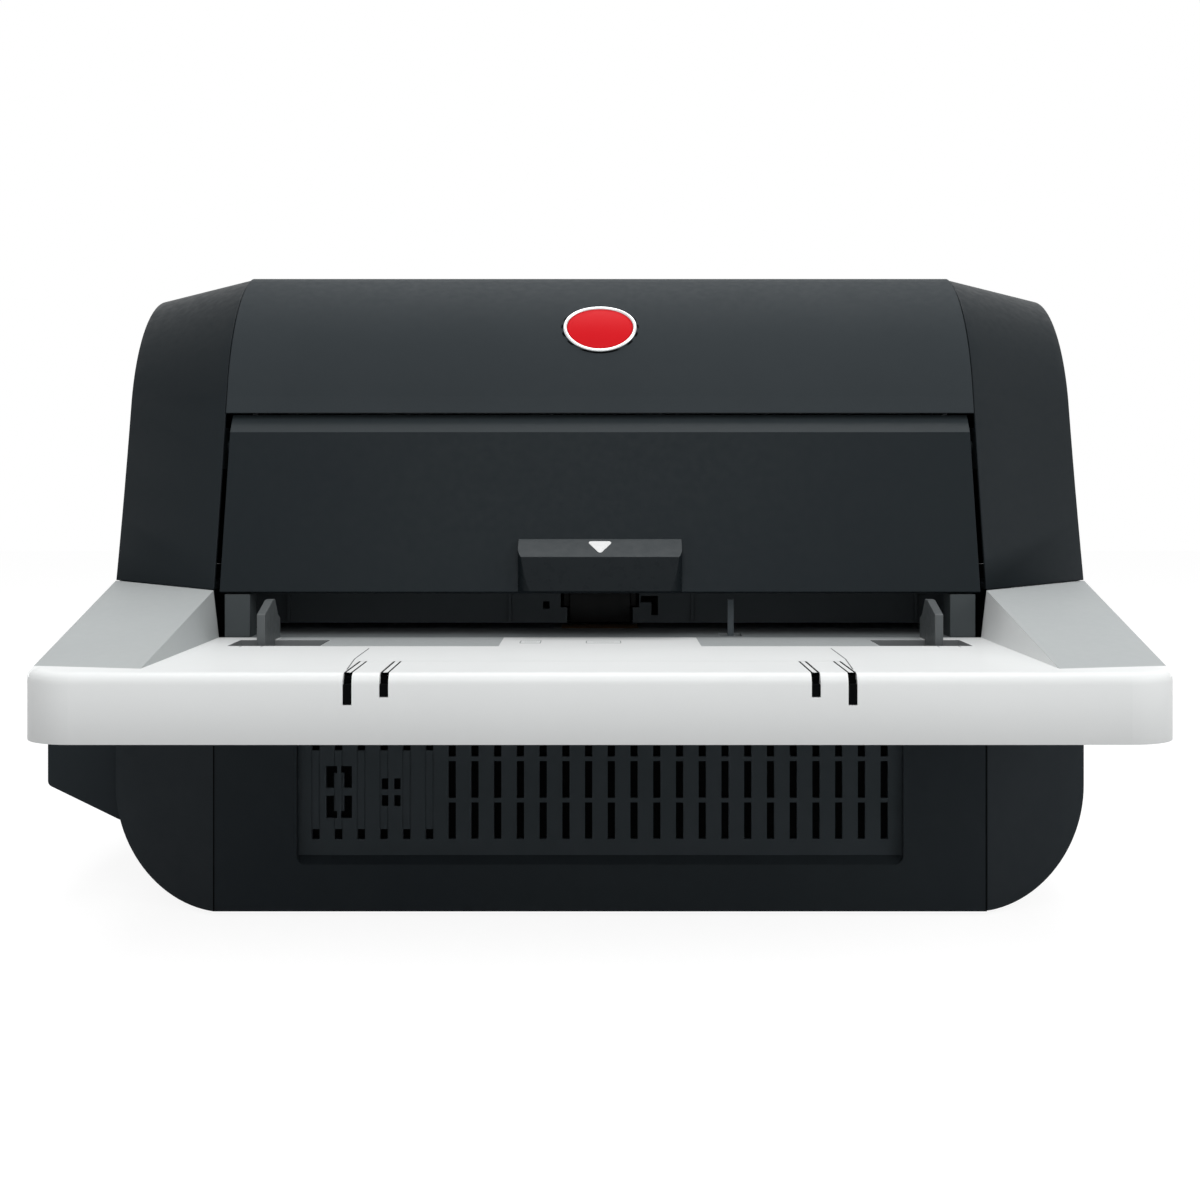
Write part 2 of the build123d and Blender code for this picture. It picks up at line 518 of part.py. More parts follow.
def tray_bezel():
    """Pale tray: sheet surface, front band, raised wings and the bands that run back along the sides."""
    square = plan_prism(tray_plan(0), TRAY_BOTTOM, TRAY_TOP)
    rim = square.faces().sort_by(Axis.Z)[-1].edges().group_by(Axis.Y)[0]
    rise = WING_BACK - WING_FALL * (BODY_HALF - TRAY_FLARE - SEAM_HALF)
    wing_start = BASE_FRONT - rise / WING_SLOPE
    wide, low, high = BODY_HALF + 9, TRAY_BOTTOM - 1, TRAY_TOP + 1
    rounded = fillet(rim, TRAY_EDGE) & box(-wide, wide, TRAY_FRONT - 1, wing_start, low, high)
    slab = rounded + (square & box(-wide, wide, wing_start, TRAY_BACK + SWEEP + 1, low, high))
    hollow = plan_prism(tray_plan(WALL), TRAY_BOTTOM - 1, TRAY_TOP - WALL)
    tray = slab + wing_block(0).solids() - hollow - wing_block(WALL).solids()
    band = outline(
        (TRAY_BACK + SWEEP - 1, TRAY_BOTTOM + 1), (TRAY_BACK + SWEEP - 1, CASE_SPLIT), (BAND_BACK, CASE_SPLIT)
    )
    side = side_prism(band, BODY_HALF - WALL, BODY_HALF)
    pan = box(
        POCKET_INNER - 0.9, POCKET_OUTER + 2, POCKET_FRONT - 2, POCKET_REAR + 2,
        TRAY_TOP - POCKET_DEPTH - WALL, TRAY_TOP - WALL,
    )
    tray = tray + both(side).solids() + both(pan).solids()
    tray -= both(pocket_cutter()).solids()
    glide = box(GLIDE_INNER, GLIDE_OUTER, GLIDE_FRONT, TRAY_BACK + 1, TRAY_TOP - 10, TRAY_TOP + 1)
    tray -= both(glide).solids()
    half = EXTENSION_HALF + EXTENSION_SLOT
    back = TRAY_FRONT + EXTENSION_LIP
    return tray - box(-half, half, TRAY_FRONT - 1, back, TRAY_TOP - EXTENSION_DROP, TRAY_TOP + 1)


def pocket_cutter():
    """Sunk track of the right paper guide: a ramp at its outer end and a through slot for the stem."""
    low = TRAY_TOP - POCKET_DEPTH
    ramp = outline(
        (POCKET_INNER, low), (POCKET_OUTER - 1.5, low), (POCKET_OUTER, TRAY_TOP + 1),
        (POCKET_INNER, TRAY_TOP + 1),
    )
    slot = box(POCKET_INNER + 2, POCKET_OUTER - 2, GUIDE_Y - 2.4, GUIDE_Y + 2.4, low - 5, low + 1)
    return front_prism(ramp, POCKET_FRONT, POCKET_REAR) + slot


def glide_plates():
    """Two low-friction grey plates sunk in the tray, each with a flange under the sheet surface."""
    top, under, seam = TRAY_TOP - GLIDE_SINK, TRAY_TOP - WALL, GAP / 2
    back, side = TRAY_BACK - WALL - GAP, GLIDE_OUTER - seam
    plate = box(GLIDE_INNER + seam, side, GLIDE_FRONT + seam, back, under - 2, top)
    return both(plate + box(GLIDE_INNER - 2, side, GLIDE_FRONT - 2, back, under - 2.3, under))


def tray_underside():
    """Closing plate under the tray, with the extensions' rails and the pinion's post."""
    plate = plan_prism(tray_plan(WALL + GAP), TRAY_BOTTOM, TRAY_BOTTOM + SHEET)
    rail_top = TRAY_TOP - EXTENSION_DROP - GAP
    rail = box(EXTENSION_HALF - 28, EXTENSION_HALF - 25, TRAY_FRONT + 8, 0, TRAY_BOTTOM + SHEET, rail_top)
    inner, outer = EXTENSION_HALF + GAP, EXTENSION_HALF + EXTENSION_SLOT - 0.5
    cheek = box(inner, outer, TRAY_FRONT + 8, -2, TRAY_BOTTOM + SHEET, rail_top + 3)
    post = rod_z(GUIDE_PIN, TRAY_BOTTOM + SHEET, RACK_HIGH + 1, 0, GUIDE_Y)
    return plate + both(rail).solids() + both(cheek).solids() + post


def tray_extension_outer():
    """Outer pull-out stage: two side runners with a front, on a long flat plate."""
    low = TRAY_TOP - EXTENSION_DROP
    inner = EXTENSION_HALF - EXTENSION_STEP + EXTENSION_SLOT
    front, lip = TRAY_FRONT, TRAY_FRONT + EXTENSION_LIP - GAP
    rear = front + EXTENSION_TRAVEL + EXTENSION_HOLD
    plate = box(-EXTENSION_HALF, EXTENSION_HALF, front, rear, low + GAP, low + GAP + SHEET)
    runner = box(inner, EXTENSION_HALF, front, lip, low + GAP, TRAY_TOP)
    edge = runner.edges().filter_by(Axis.X).group_by(Axis.Y)[0].sort_by(Axis.Z)[-1]
    return plate + both(fillet(edge, TRAY_EDGE)).solids()


def tray_extension_inner():
    """Inner pull-out stage: a flat box that rides on the outer stage's plate."""
    low = TRAY_TOP - EXTENSION_DROP + 2 * GAP + SHEET
    half = EXTENSION_HALF - EXTENSION_STEP
    front, lip = TRAY_FRONT, TRAY_FRONT + EXTENSION_LIP - GAP
    block = box(-half, half, front, lip, low, TRAY_TOP)
    edge = block.edges().filter_by(Axis.X).group_by(Axis.Y)[0].sort_by(Axis.Z)[-1]
    block = fillet(edge, TRAY_EDGE)
    block -= box(-half - 1, half + 1, front + 5, lip - WALL, low + SHEET, TRAY_TOP - WALL)
    rear = front + EXTENSION_TRAVEL + EXTENSION_HOLD - 5
    return block + box(-half, half, front + 5, rear, low, low + SHEET)


def rack_bar(direction):
    """Toothed bar in plan beside the pinion; direction 1 lies behind it, -1 in front of it."""
    pitch = pi * MODULE
    line = GUIDE_Y + direction * (PINION_RADIUS + FIT)
    base, tip = line + direction * ROOT_DEPTH, line - direction * TIP_HEIGHT
    back = base + direction * 4.0
    half_base = pitch / 4 - GEAR_BACKLASH / 2 + ROOT_DEPTH * tan(PRESSURE_ANGLE)
    half_tip = pitch / 4 - GEAR_BACKLASH / 2 - TIP_HEIGHT * tan(PRESSURE_ANGLE)
    start, count = -9, 23
    points = [((start - 0.1) * pitch, base)]
    for index in range(count):
        middle = (start + index + 0.5) * pitch
        points += [(middle - half_base, base), (middle - half_tip, tip)]
        points += [(middle + half_tip, tip), (middle + half_base, base)]
    end = GUIDE_REST + GUIDE_PLATE
    points += [(end, base), (end, back), ((start - 0.1) * pitch, back)]
    return plan_prism(outline(*points), RACK_LOW, RACK_HIGH)


def paper_guide(direction):
    """Right-hand paper guide with its stem and its rack behind (1) or in front of (-1) the pinion."""
    x0, x1 = GUIDE_REST, GUIDE_REST + GUIDE_PLATE
    low = TRAY_TOP - POCKET_DEPTH + 0.2
    top = TRAY_TOP + GUIDE_HEIGHT
    front, back = POCKET_FRONT + 4.4, TRAY_BACK - 0.8
    face = outline(
        (front, low), (front, top - 5), (front + 17, top), (front + 22, top), (back - 5, top - 7),
        (back, top - 9), (back, TRAY_TOP + GAP), (POCKET_REAR - 0.5, TRAY_TOP + GAP),
        (POCKET_REAR - 0.5, low),
    )
    plate = side_prism(face, x0, x1)
    stem = box(x0, x1, GUIDE_Y - 1.9, GUIDE_Y + 1.9, RACK_LOW, low + 1)
    line = GUIDE_Y + direction * (PINION_RADIUS + FIT + ROOT_DEPTH)
    first, last = sorted((GUIDE_Y - 1.9 * direction, line + 4 * direction))
    arm = box(x0 - 4, x1, first, last, RACK_LOW, RACK_HIGH)
    return plate + stem + arm + rack_bar(direction)


def guide_pinion():
    """Pinion that couples the two racks."""
    section = Pos(0, GUIDE_Y) * gear_face(RACK_TEETH, 0) - Pos(0, GUIDE_Y) * Circle(GUIDE_PIN + FIT)
    return plan_prism(section, RACK_LOW, RACK_HIGH)


# ---- Throat and door -----------------------------------------------------------------------------------
def feed_ledge():
    """Dark ledge between the tray and the feeder wall, with the sensor lever's slot and ears."""
    ledge = box(-LEDGE_HALF, LEDGE_HALF, LEDGE_FRONT, FEEDER_WALL - GAP, TRAY_TOP - 3, TRAY_TOP)
    ledge += box(-LEDGE_HALF, LEDGE_HALF, LEDGE_FRONT + 3, LEDGE_FRONT + 5.5, TRAY_BOTTOM, TRAY_TOP - 2)
    ledge -= box(LEVER_X - 5, LEVER_X + 5, LEVER_Y - 4, LEVER_Y + 9, TRAY_TOP - 10, TRAY_TOP + 1)
    for x in (-126.0, -52.0, 35.0):
        ledge -= box(x - 4, x + 4, LEDGE_FRONT - 1, LEDGE_FRONT + 1.6, TRAY_TOP - 1.6, TRAY_TOP + 1)
    for x in (LEVER_X - 7.5, LEVER_X + 5):
        ear = box(x, x + 2.5, LEVER_Y - 3, LEVER_Y + 3, LEVER_Z - 3, TRAY_TOP - 2.5)
        ledge += ear - rod_x(LEVER_PIN + FIT, x - 1, x + 4, LEVER_Y, LEVER_Z)
    return ledge


def sensor_lever():
    """Thin lever that a sheet tips back, on its own pin."""
    blade = box(LEVER_X - 1.35, LEVER_X + 1.35, LEVER_Y - 1.2, LEVER_Y + 1.2, LEVER_Z - 2, TRAY_TOP + 16)
    return blade + rod_x(LEVER_PIN, LEVER_X - 7.5, LEVER_X + 7.5, LEVER_Y, LEVER_Z)


def throat_posts():
    """Posts on both sides of the throat."""
    front, top = LEDGE_FRONT, TRAY_TOP + THROAT_HEIGHT
    return both(box(SHEET_HALF + GAP, LEDGE_HALF, front, front + 14, TRAY_TOP, top))


def feeder_front():
    """Wall above the sheet slot with the roller's window, small sight holes and stiffening ribs."""
    y0, y1 = FEEDER_WALL, FEEDER_WALL + WALL
    top = TRAY_TOP + 40
    wall = box(-LEDGE_HALF, LEDGE_HALF, y0, y1, TRAY_BOTTOM + 12, top)
    holes = (  # left, right, then low and high above the sheet surface
        (-SHEET_HALF, SHEET_HALF, -0.2, SHEET_SLOT),
        (-WINDOW_HALF, WINDOW_HALF, -2.0, WINDOW_HEIGHT),
        (-WINDOW_HALF - 3, WINDOW_HALF + 3, WINDOW_HEIGHT - 4, WINDOW_HEIGHT + 8),
        (-26.5, -23.5, 9.0, 12.5),
        (19.0, 27.0, 12.0, 15.0),
        (24.0, 27.0, 6.0, 15.0),
    )
    for x0, x1, low, high in holes:
        wall -= box(x0, x1, y0 - 1, y1 + 1, TRAY_TOP + low, TRAY_TOP + high)
    for x in (-145.0, -42.0, 43.0, 147.0):
        wall += box(x - 0.7, x + 0.7, y0 - 1.5, y0 + 1, TRAY_TOP + SHEET_SLOT + 1, top)
    return wall


def door_line():
    """Outer line of the door in (y, z), from its foot over the chamfer to its top."""
    top = (DOOR_KNEE[0] + DOOR_CHAMFER[0], DOOR_KNEE[1] + DOOR_CHAMFER[1])
    return [(BASE_FRONT, DOOR_FOOT), DOOR_KNEE, top]


def cartridge_door():
    """Front door with a chamfered top, hung on two pins behind its upper corners."""
    line = door_line()
    panel = side_prism(strip(line, DOOR_WALL), -DOOR_HALF, DOOR_HALF)
    (ky, kz), (py, pz) = DOOR_KNEE, DOOR_PIVOT
    arm = outline(
        (ky - 3, kz - 16), (py - 1, pz - 5.5), (py + 5, pz - 3), (py + 5, pz + 2), (py + 1, pz + 5),
        (ky + 5, kz + 2),
    )
    face = side_prism(strip(line, 0.8), -DOOR_HALF, DOOR_HALF)
    arms = side_prism(arm, DOOR_HALF - 6, DOOR_HALF - 1.5) - face
    pin = rod_x(DOOR_PIN, DOOR_HALF - 5, SEAM_HALF + WALL - 0.2, py, pz)
    return panel + both(arms).solids() + both(pin).solids()


def door_grip():
    """Pull grip across the door's foot, bevelled above and rounded at its ends."""
    fy, fz = BASE_FRONT, DOOR_FOOT + 0.6
    high, face_y = fz + GRIP_HEIGHT, BASE_FRONT - GRIP_REACH
    face = outline(
        (fy + DOOR_LEAN * (high - DOOR_FOOT), high), (face_y + GRIP_BEVEL[0], high - GRIP_BEVEL[1] - 0.6),
        (face_y, fz), (fy + DOOR_LEAN * 0.6, fz),
    )
    grip = side_prism(face, -GRIP_HALF, GRIP_HALF)
    ends = plan_prism(Pos(0, fy + 10) * RectangleRounded(2 * GRIP_HALF, 34, GRIP_ROUND), fz - 5, high + 9)
    return grip & ends


def badge_prism(trim):
    """Oval plug square to the hood's front curve, trimmed in from the badge's edge."""
    plane = Plane(
        Vector(0, ARC_Y, ARC_Z), x_dir=(1, 0, 0), z_dir=(0, cos(BADGE_ANGLE), sin(BADGE_ANGLE))
    )
    oval = Ellipse(BADGE_WIDTH / 2 - trim, BADGE_LENGTH / 2 - trim)
    return extrude(plane * Pos(0, 0, HOOD_RADIUS - 10) * oval, amount=20)


def badge_layer(low, high):
    """Sheet that follows the hood's front curve between two heights above it."""
    half = BADGE_WIDTH
    outside = rod_x(HOOD_RADIUS + high, -half, half, ARC_Y, ARC_Z)
    return outside - rod_x(HOOD_RADIUS + low, -half - 1, half + 1, ARC_Y, ARC_Z)


def badge_rim():
    """Bright rim of the badge."""
    return (badge_prism(0) - badge_prism(BADGE_RIM)) & badge_layer(0.02, 1.2)


def badge_plate():
    """Bare oval plate inside the rim."""
    return badge_prism(BADGE_RIM + 0.05) & badge_layer(0.02, 0.8)


# ---- Frame, rollers and gears --------------------------------------------------------------------------
def reach(first_teeth, second_teeth):
    """Centre distance of two meshed gears."""
    return MODULE * (first_teeth + second_teeth) / 2 + 0.05


IDLER_FRONT = meshed_centre(
    FEED_LOW, reach(SMALL_TEETH, IDLER_TEETH), HEAT_LOW, reach(HEAT_TEETH, IDLER_TEETH), -1
)
IDLER_REAR = meshed_centre(
    HEAT_LOW, reach(HEAT_TEETH, IDLER_TEETH), EXIT_AXLE_LOW, reach(SMALL_TEETH, IDLER_TEETH), -1
)
MOTOR_AXLE = (HEAT_Y, HEAT_Z - reach(HEAT_TEETH, MOTOR_TEETH))


def side_frame():
    """Right side plate with the shafts' bearings."""
    shape = outline(
        (FRAME_FRONT, FOOT_HEIGHT + SHEET), (FRAME_BACK, FOOT_HEIGHT + SHEET), (FRAME_BACK, PATH_Z + 60),
        (FRAME_BACK - 40, PATH_Z + 120), (FRAME_FRONT + 14, PATH_Z + 120), (FRAME_FRONT, PATH_Z + 100),
    )
    plate = side_prism(shape, FRAME_INNER, FRAME_OUTER)
    rollers = (FEED_LOW, FEED_HIGH, HEAT_LOW, HEAT_HIGH, EXIT_AXLE_LOW, EXIT_AXLE_HIGH)
    bores = [(ROLLER_JOURNAL, centre) for centre in rollers]
    bores += [(PICKUP_SHAFT, PICKUP_PIVOT), (FILM_JOURNAL, LOWER_FILM)]
    for radius, centre in bores:
        plate -= rod_x(radius + FIT, FRAME_INNER - 1, FRAME_OUTER + 1, *centre)
    return plate


def side_frame_left():
    """Left side plate, with the idlers' stub axles and the motor's bracket."""
    plate = mirror(side_frame(), about=Plane.YZ)
    for centre in (IDLER_FRONT, IDLER_REAR):
        plate += rod_x(IDLER_AXLE, GEAR_X - GEAR_WIDTH - 1, -FRAME_INNER - 0.5, *centre)
    y, z = MOTOR_AXLE
    outer = GEAR_X - GEAR_WIDTH - 2
    half, foot = MOTOR_RADIUS + 2, z - 29
    flange = box(outer - SHEET, outer, y - half, y + half, foot, z + 14)
    flange -= rod_x(MOTOR_SHAFT + 0.5, outer - 9, outer + 9, y, z)
    leg = box(outer - SHEET, -FRAME_INNER - 0.5, y - half, y + half, foot, foot + SHEET)
    return plate + flange + leg


def roller(radius, centre, bore=0.0, left_reach=0.5):
    """Full-width roller with journals in both side plates; bore makes it a tube."""
    body = rod_x(radius, -SHEET_HALF, SHEET_HALF, *centre)
    shaft = rod_x(ROLLER_JOURNAL, -FRAME_OUTER - left_reach, FRAME_OUTER + 0.5, *centre)
    made = body + shaft
    if bore:
        made -= rod_x(bore, -FRAME_OUTER - left_reach - 1, FRAME_OUTER + 2, *centre)
    return made


def heater_rods():
    """Heating rods inside the two heat rollers, held by caps at their right end."""
    rods = []
    for centre in (HEAT_LOW, HEAT_HIGH):
        y, z = centre
        rod = rod_x(HEATER_ROD, -FRAME_OUTER - GEAR_REACH - 1, FRAME_OUTER + 4, y, z)
        cap = box(FRAME_OUTER + 1, FRAME_OUTER + 5, y - 9, y + 9, z - 6, z + 6)
        foot = box(FRAME_OUTER + GAP, FRAME_OUTER + 2, y + 6, y + 9, z - 6, z + 6)
        rods.append((rod + cap + foot).solid())
    return Compound(rods)


def pickup_arm():
    """Swinging arm of the pick-up roller, one piece with its shaft."""
    (py, pz), (ay, az) = PICKUP_PIVOT, PICKUP_AXLE
    shaft = rod_x(PICKUP_SHAFT, -FRAME_OUTER - 0.5, FRAME_OUTER + 0.5, py, pz)
    shape = outline(
        (ay - 4, az - 3), (ay + 2, az - 4), (py + 5, pz - 3), (py + 4, pz + 5), (py - 3, pz + 5),
        (ay - 4, az + 4),
    )
    arms = side_prism(shape, 14.5, 17) - rod_x(PICKUP_PIN + FIT, 10, 20, ay, az)
    bridge = box(-15, 15, py - 5, py + 5, pz + 2, pz + 4.5)
    return shaft + both(arms).solids() + bridge


def pickup_roller():
    """Rubber roller that drags the top sheet in."""
    ay, az = PICKUP_AXLE
    return rod_x(PICKUP_RADIUS, -14, 14, ay, az) + rod_x(PICKUP_PIN, -17, 17, ay, az)


def separation_pad():
    """Cork pad under the pick-up roller, in the sheet path plate's notch."""
    return box(-18, 18, FEEDER_WALL + WALL + 1.5, FEEDER_WALL + WALL + 24, TRAY_TOP - 3.5, TRAY_TOP - 0.3)


def path_plate():
    """Plate that carries the sheet between the rollers."""
    half = FRAME_INNER - GAP
    plate = box(-half, half, FRAME_FRONT, EXIT_Y + 14, PATH_Z - 3, PATH_Z - 0.3)
    for y, radius in ((FEED_Y, SMALL_ROLLER), (HEAT_Y, HEAT_ROLLER), (EXIT_Y, SMALL_ROLLER)):
        span = radius + 1
        plate -= box(-SHEET_HALF - 1, SHEET_HALF + 1, y - span, y + span, PATH_Z - 10, PATH_Z + 5)
        neck = ROLLER_JOURNAL + 1
        if PATH_Z - 3 < (HEAT_Z if radius == HEAT_ROLLER else FEED_Z) + neck:
            plate -= box(-half - 1, half + 1, y - neck, y + neck, PATH_Z - 10, PATH_Z + 5)
    pad = separation_pad().bounding_box()
    return plate - box(pad.min.X - 0.2, pad.max.X + 0.2, 0, pad.max.Y + 0.2, 0, TRAY_TOP + 5)


def pad_carrier(plate):
    """The path plate with a shelf under the separation pad."""
    pad = separation_pad().bounding_box()
    shelf = box(pad.min.X - 4, pad.max.X + 4, FRAME_FRONT, pad.max.Y + 4, pad.min.Z - 2.5, pad.min.Z)
    rise = box(pad.min.X - 4, pad.min.X - 0.2, FRAME_FRONT, pad.max.Y + 4, pad.min.Z - 1, PATH_Z - 0.3)
    other = box(pad.max.X + 0.2, pad.max.X + 4, FRAME_FRONT, pad.max.Y + 4, pad.min.Z - 1, PATH_Z - 0.3)
    return plate + shelf + rise + other


def gear_turns():
    """Rest angle of each gear, chained from the lower heat roller's gear."""
    heat = 0.0
    turns = {
        "heat_high": meshed_turn(heat, HEAT_TEETH, HEAT_LOW, HEAT_TEETH, HEAT_HIGH),
        "front": meshed_turn(heat, HEAT_TEETH, HEAT_LOW, IDLER_TEETH, IDLER_FRONT),
        "rear": meshed_turn(heat, HEAT_TEETH, HEAT_LOW, IDLER_TEETH, IDLER_REAR),
        "motor": meshed_turn(heat, HEAT_TEETH, HEAT_LOW, MOTOR_TEETH, MOTOR_AXLE),
    }
    turns["feed"] = meshed_turn(turns["front"], IDLER_TEETH, IDLER_FRONT, SMALL_TEETH, FEED_LOW)
    turns["exit"] = meshed_turn(turns["rear"], IDLER_TEETH, IDLER_REAR, SMALL_TEETH, EXIT_AXLE_LOW)
    return turns


def drive_motor():
    """Geared motor with a stepped can, carried by its bracket."""
    y, z = MOTOR_AXLE
    front = GEAR_X - GEAR_WIDTH - 2 - SHEET
    can = rod_x(MOTOR_RADIUS, -BODY_HALF - BULGE + WALL + 4, front, y, z)
    return can + rod_x(MOTOR_SHAFT, front - 1, GEAR_X + 1, y, z)


def motor_pinion(turn):
    """Pinion on the motor's shaft."""
    return spur(MOTOR_TEETH, turn, MOTOR_AXLE, MOTOR_SHAFT + FIT)


# ---- Film, electronics and controls --------------------------------------------------------------------
def film_roll(centre, radius, end):
    """Roll of laminating film on its core."""
    return rod_x(radius, -SHEET_HALF, SHEET_HALF, *centre) + rod_x(FILM_JOURNAL, -end, end, *centre)


def cartridge_frame():
    """Two end plates and two tie bars that hold the upper film roll."""
    y, z = UPPER_FILM
    corners = ((-44, -38), (30, -38), (44, -10), (38, 26), (8, 42), (-30, 36), (-44, 6))
    shape = outline(*[(y + dy, z + dz) for dy, dz in corners])
    outer = FRAME_INNER - GAP
    plate = side_prism(shape, outer - CARTRIDGE_PLATE, outer) - rod_x(FILM_JOURNAL + FIT, 0, outer + 1, y, z)
    bars = [rod_x(CARTRIDGE_BAR, -outer, outer, y + dy, z - 12) for dy in (-38, 36)]
    return bars[0] + bars[1] + both(plate).solids()


def control_board():
    """Circuit board on four spacers beside the right side plate, with a heat sink and connectors."""
    x = FRAME_OUTER + 7.5
    y0, y1, z0, z1 = 118.0, 218.0, 28.0, 88.0
    board = box(x, x + 1.6, y0, y1, z0, z1)
    for y in (y0 + 5, y1 - 5):
        for z in (z0 + 5, z1 - 5):
            board += rod_x(3, FRAME_OUTER + GAP, x + 0.5, y, z)
    parts = (  # place along the board and up it, then size along, up and out
        (15, 12, 30, 24, 14), (55, 10, 17, 17, 4), (78, 14, 10, 32, 9),
    )
    for along, up, wide, high, tall in parts:
        board += box(x + 1.5, x + 1.5 + tall, y0 + along, y0 + along + wide, z0 + up, z0 + up + high)
    return board


def power_supply():
    """Boxed power supply on the base pan."""
    low = FOOT_HEIGHT + SHEET
    box_part = box(-140, -20, 165, 240, low, low + 34)
    vents = [box(-136 + 8 * i, -132 + 8 * i, 175, 230, low + 31, low + 36) for i in range(14)]
    return box_part - vents


def fan_frame():
    """Square fan frame behind the rear grille, with a cross-shaped hub."""
    back = BODY_BACK - WALL - GAP
    front, reach_out, arm = back - FAN_DEPTH, FAN_HALF - 1, 1.5
    frame = box(FAN_X - FAN_HALF, FAN_X + FAN_HALF, front, back, FAN_Z - FAN_HALF, FAN_Z + FAN_HALF)
    frame -= rod_y(FAN_RADIUS, front - 1, back + 1, FAN_X, FAN_Z)
    spider = rod_y(FAN_HUB, front, front + 2, FAN_X, FAN_Z)
    spider += box(FAN_X - reach_out, FAN_X + reach_out, front, front + 2, FAN_Z - arm, FAN_Z + arm)
    spider += box(FAN_X - arm, FAN_X + arm, front, front + 2, FAN_Z - reach_out, FAN_Z + reach_out)
    return frame + spider - rod_y(FAN_PIN + FIT, front - 5, back - 10, FAN_X, FAN_Z)


def fan_rotor():
    """Hub with seven pitched blades on its own pin."""
    back = BODY_BACK - WALL - GAP
    hub = rod_y(FAN_HUB, back - 12, back - 2, FAN_X, FAN_Z)
    hub += rod_y(FAN_PIN, back - FAN_DEPTH, back - 11, FAN_X, FAN_Z)
    span = FAN_RADIUS - FAN_HUB - 1
    blade = Pos(FAN_HUB + span / 2 - 0.5, 0, 0) * Rot(35, 0, 0) * Box(span, 8, 1.2)
    for index in range(FAN_BLADES):
        hub += Pos(FAN_X, back - 7, FAN_Z) * Rot(0, 360 * index / FAN_BLADES, 0) * blade
    return hub


def power_inlet():
    """Mains inlet module: flange, socket with three blades, and the rocker's well."""
    wide, tall = INLET_SIZE[0] / 2, INLET_SIZE[1] / 2
    y1 = BODY_BACK
    body = box(INLET_X - wide, INLET_X + wide, y1, y1 + INLET_FLANGE, INLET_Z - tall, INLET_Z + tall)
    inner, low = wide - 3 - GAP, tall - 2 - GAP
    body += box(INLET_X - inner, INLET_X + inner, y1 - 22, y1 + 0.5, INLET_Z - low, INLET_Z + low)
    socket = INLET_X + SOCKET_X
    body -= box(
        socket - SOCKET_HALF, socket + SOCKET_HALF, y1 - SOCKET_DEPTH, y1 + 5,
        INLET_Z - SOCKET_TALL, INLET_Z + SOCKET_TALL,
    )
    for x, z in ((-7, -1), (0, 3), (7, -1)):
        body += box(socket + x - 1, socket + x + 1, y1 - 16, y1 - 2, INLET_Z + z - 2, INLET_Z + z + 2)
    body -= box(ROCKER_X - 5, ROCKER_X + 5, y1 - 12, y1 + 5, INLET_Z - 9, INLET_Z + 9)
    return body - rod_x(ROCKER_PIN + FIT, ROCKER_X - 6.5, ROCKER_X + 6.5, y1 - 3, INLET_Z)


def power_switch():
    """Rocker with a hollowed face, on a cross pin."""
    y1 = BODY_BACK
    face = outline(
        (y1 - 6.5, INLET_Z - 3), (y1 + 0.4, INLET_Z - 7.6), (y1 + 1.8, INLET_Z - 7.2), (y1 + 0.4, INLET_Z),
        (y1 + 1.8, INLET_Z + 7.2), (y1 + 0.4, INLET_Z + 7.6), (y1 - 6.5, INLET_Z + 3),
    )
    rocker = side_prism(face, ROCKER_X - ROCKER_HALF, ROCKER_X + ROCKER_HALF)
    return rocker + rod_x(ROCKER_PIN, ROCKER_X - 6.3, ROCKER_X + 6.3, y1 - 3, INLET_Z)


def control_panel():
    """Panel sunk in the hood's flat top, with a display window's recess and three button holes."""
    top, under = HOOD_TOP, HOOD_TOP - WALL
    plate = box(-PANEL_HALF + 0.2, PANEL_HALF - 0.2, PANEL_FRONT + 0.2, PANEL_BACK - 0.2, under - 2, top)
    plate += box(-PANEL_HALF - 3, PANEL_HALF + 3, PANEL_FRONT - 3, PANEL_BACK + 3, under - 2, under)
    left, right, half, depth = DISPLAY
    plate -= box(left, right, BUTTON_Y - half, BUTTON_Y + half, top - depth, top + 1)
    hole = BUTTON_HALF + 0.15
    for x in BUTTON_PLACES.values():
        plate -= box(x - hole, x + hole, BUTTON_Y - hole, BUTTON_Y + hole, under - 3, top + 1)
    board_top = under - 2 - 6
    plate += box(-PANEL_HALF, PANEL_HALF, PANEL_FRONT, PANEL_BACK, board_top - 1.6, board_top)
    for x in (-PANEL_HALF + 3, PANEL_HALF - 3):
        for y in (PANEL_FRONT + 3, PANEL_BACK - 3):
            plate += rod_z(2, board_top - 0.5, under - 1, x, y)
    return plate


def panel_button(x):
    """Square push button with a flange that stops it under the panel."""
    top, foot = HOOD_TOP - 0.1, HOOD_TOP - WALL - 4
    half, flange = BUTTON_HALF, BUTTON_HALF + 1.5
    stem = box(x - half, x + half, BUTTON_Y - half, BUTTON_Y + half, foot, top)
    return stem + box(x - flange, x + flange, BUTTON_Y - flange, BUTTON_Y + flange, foot, foot + 2 - GAP)


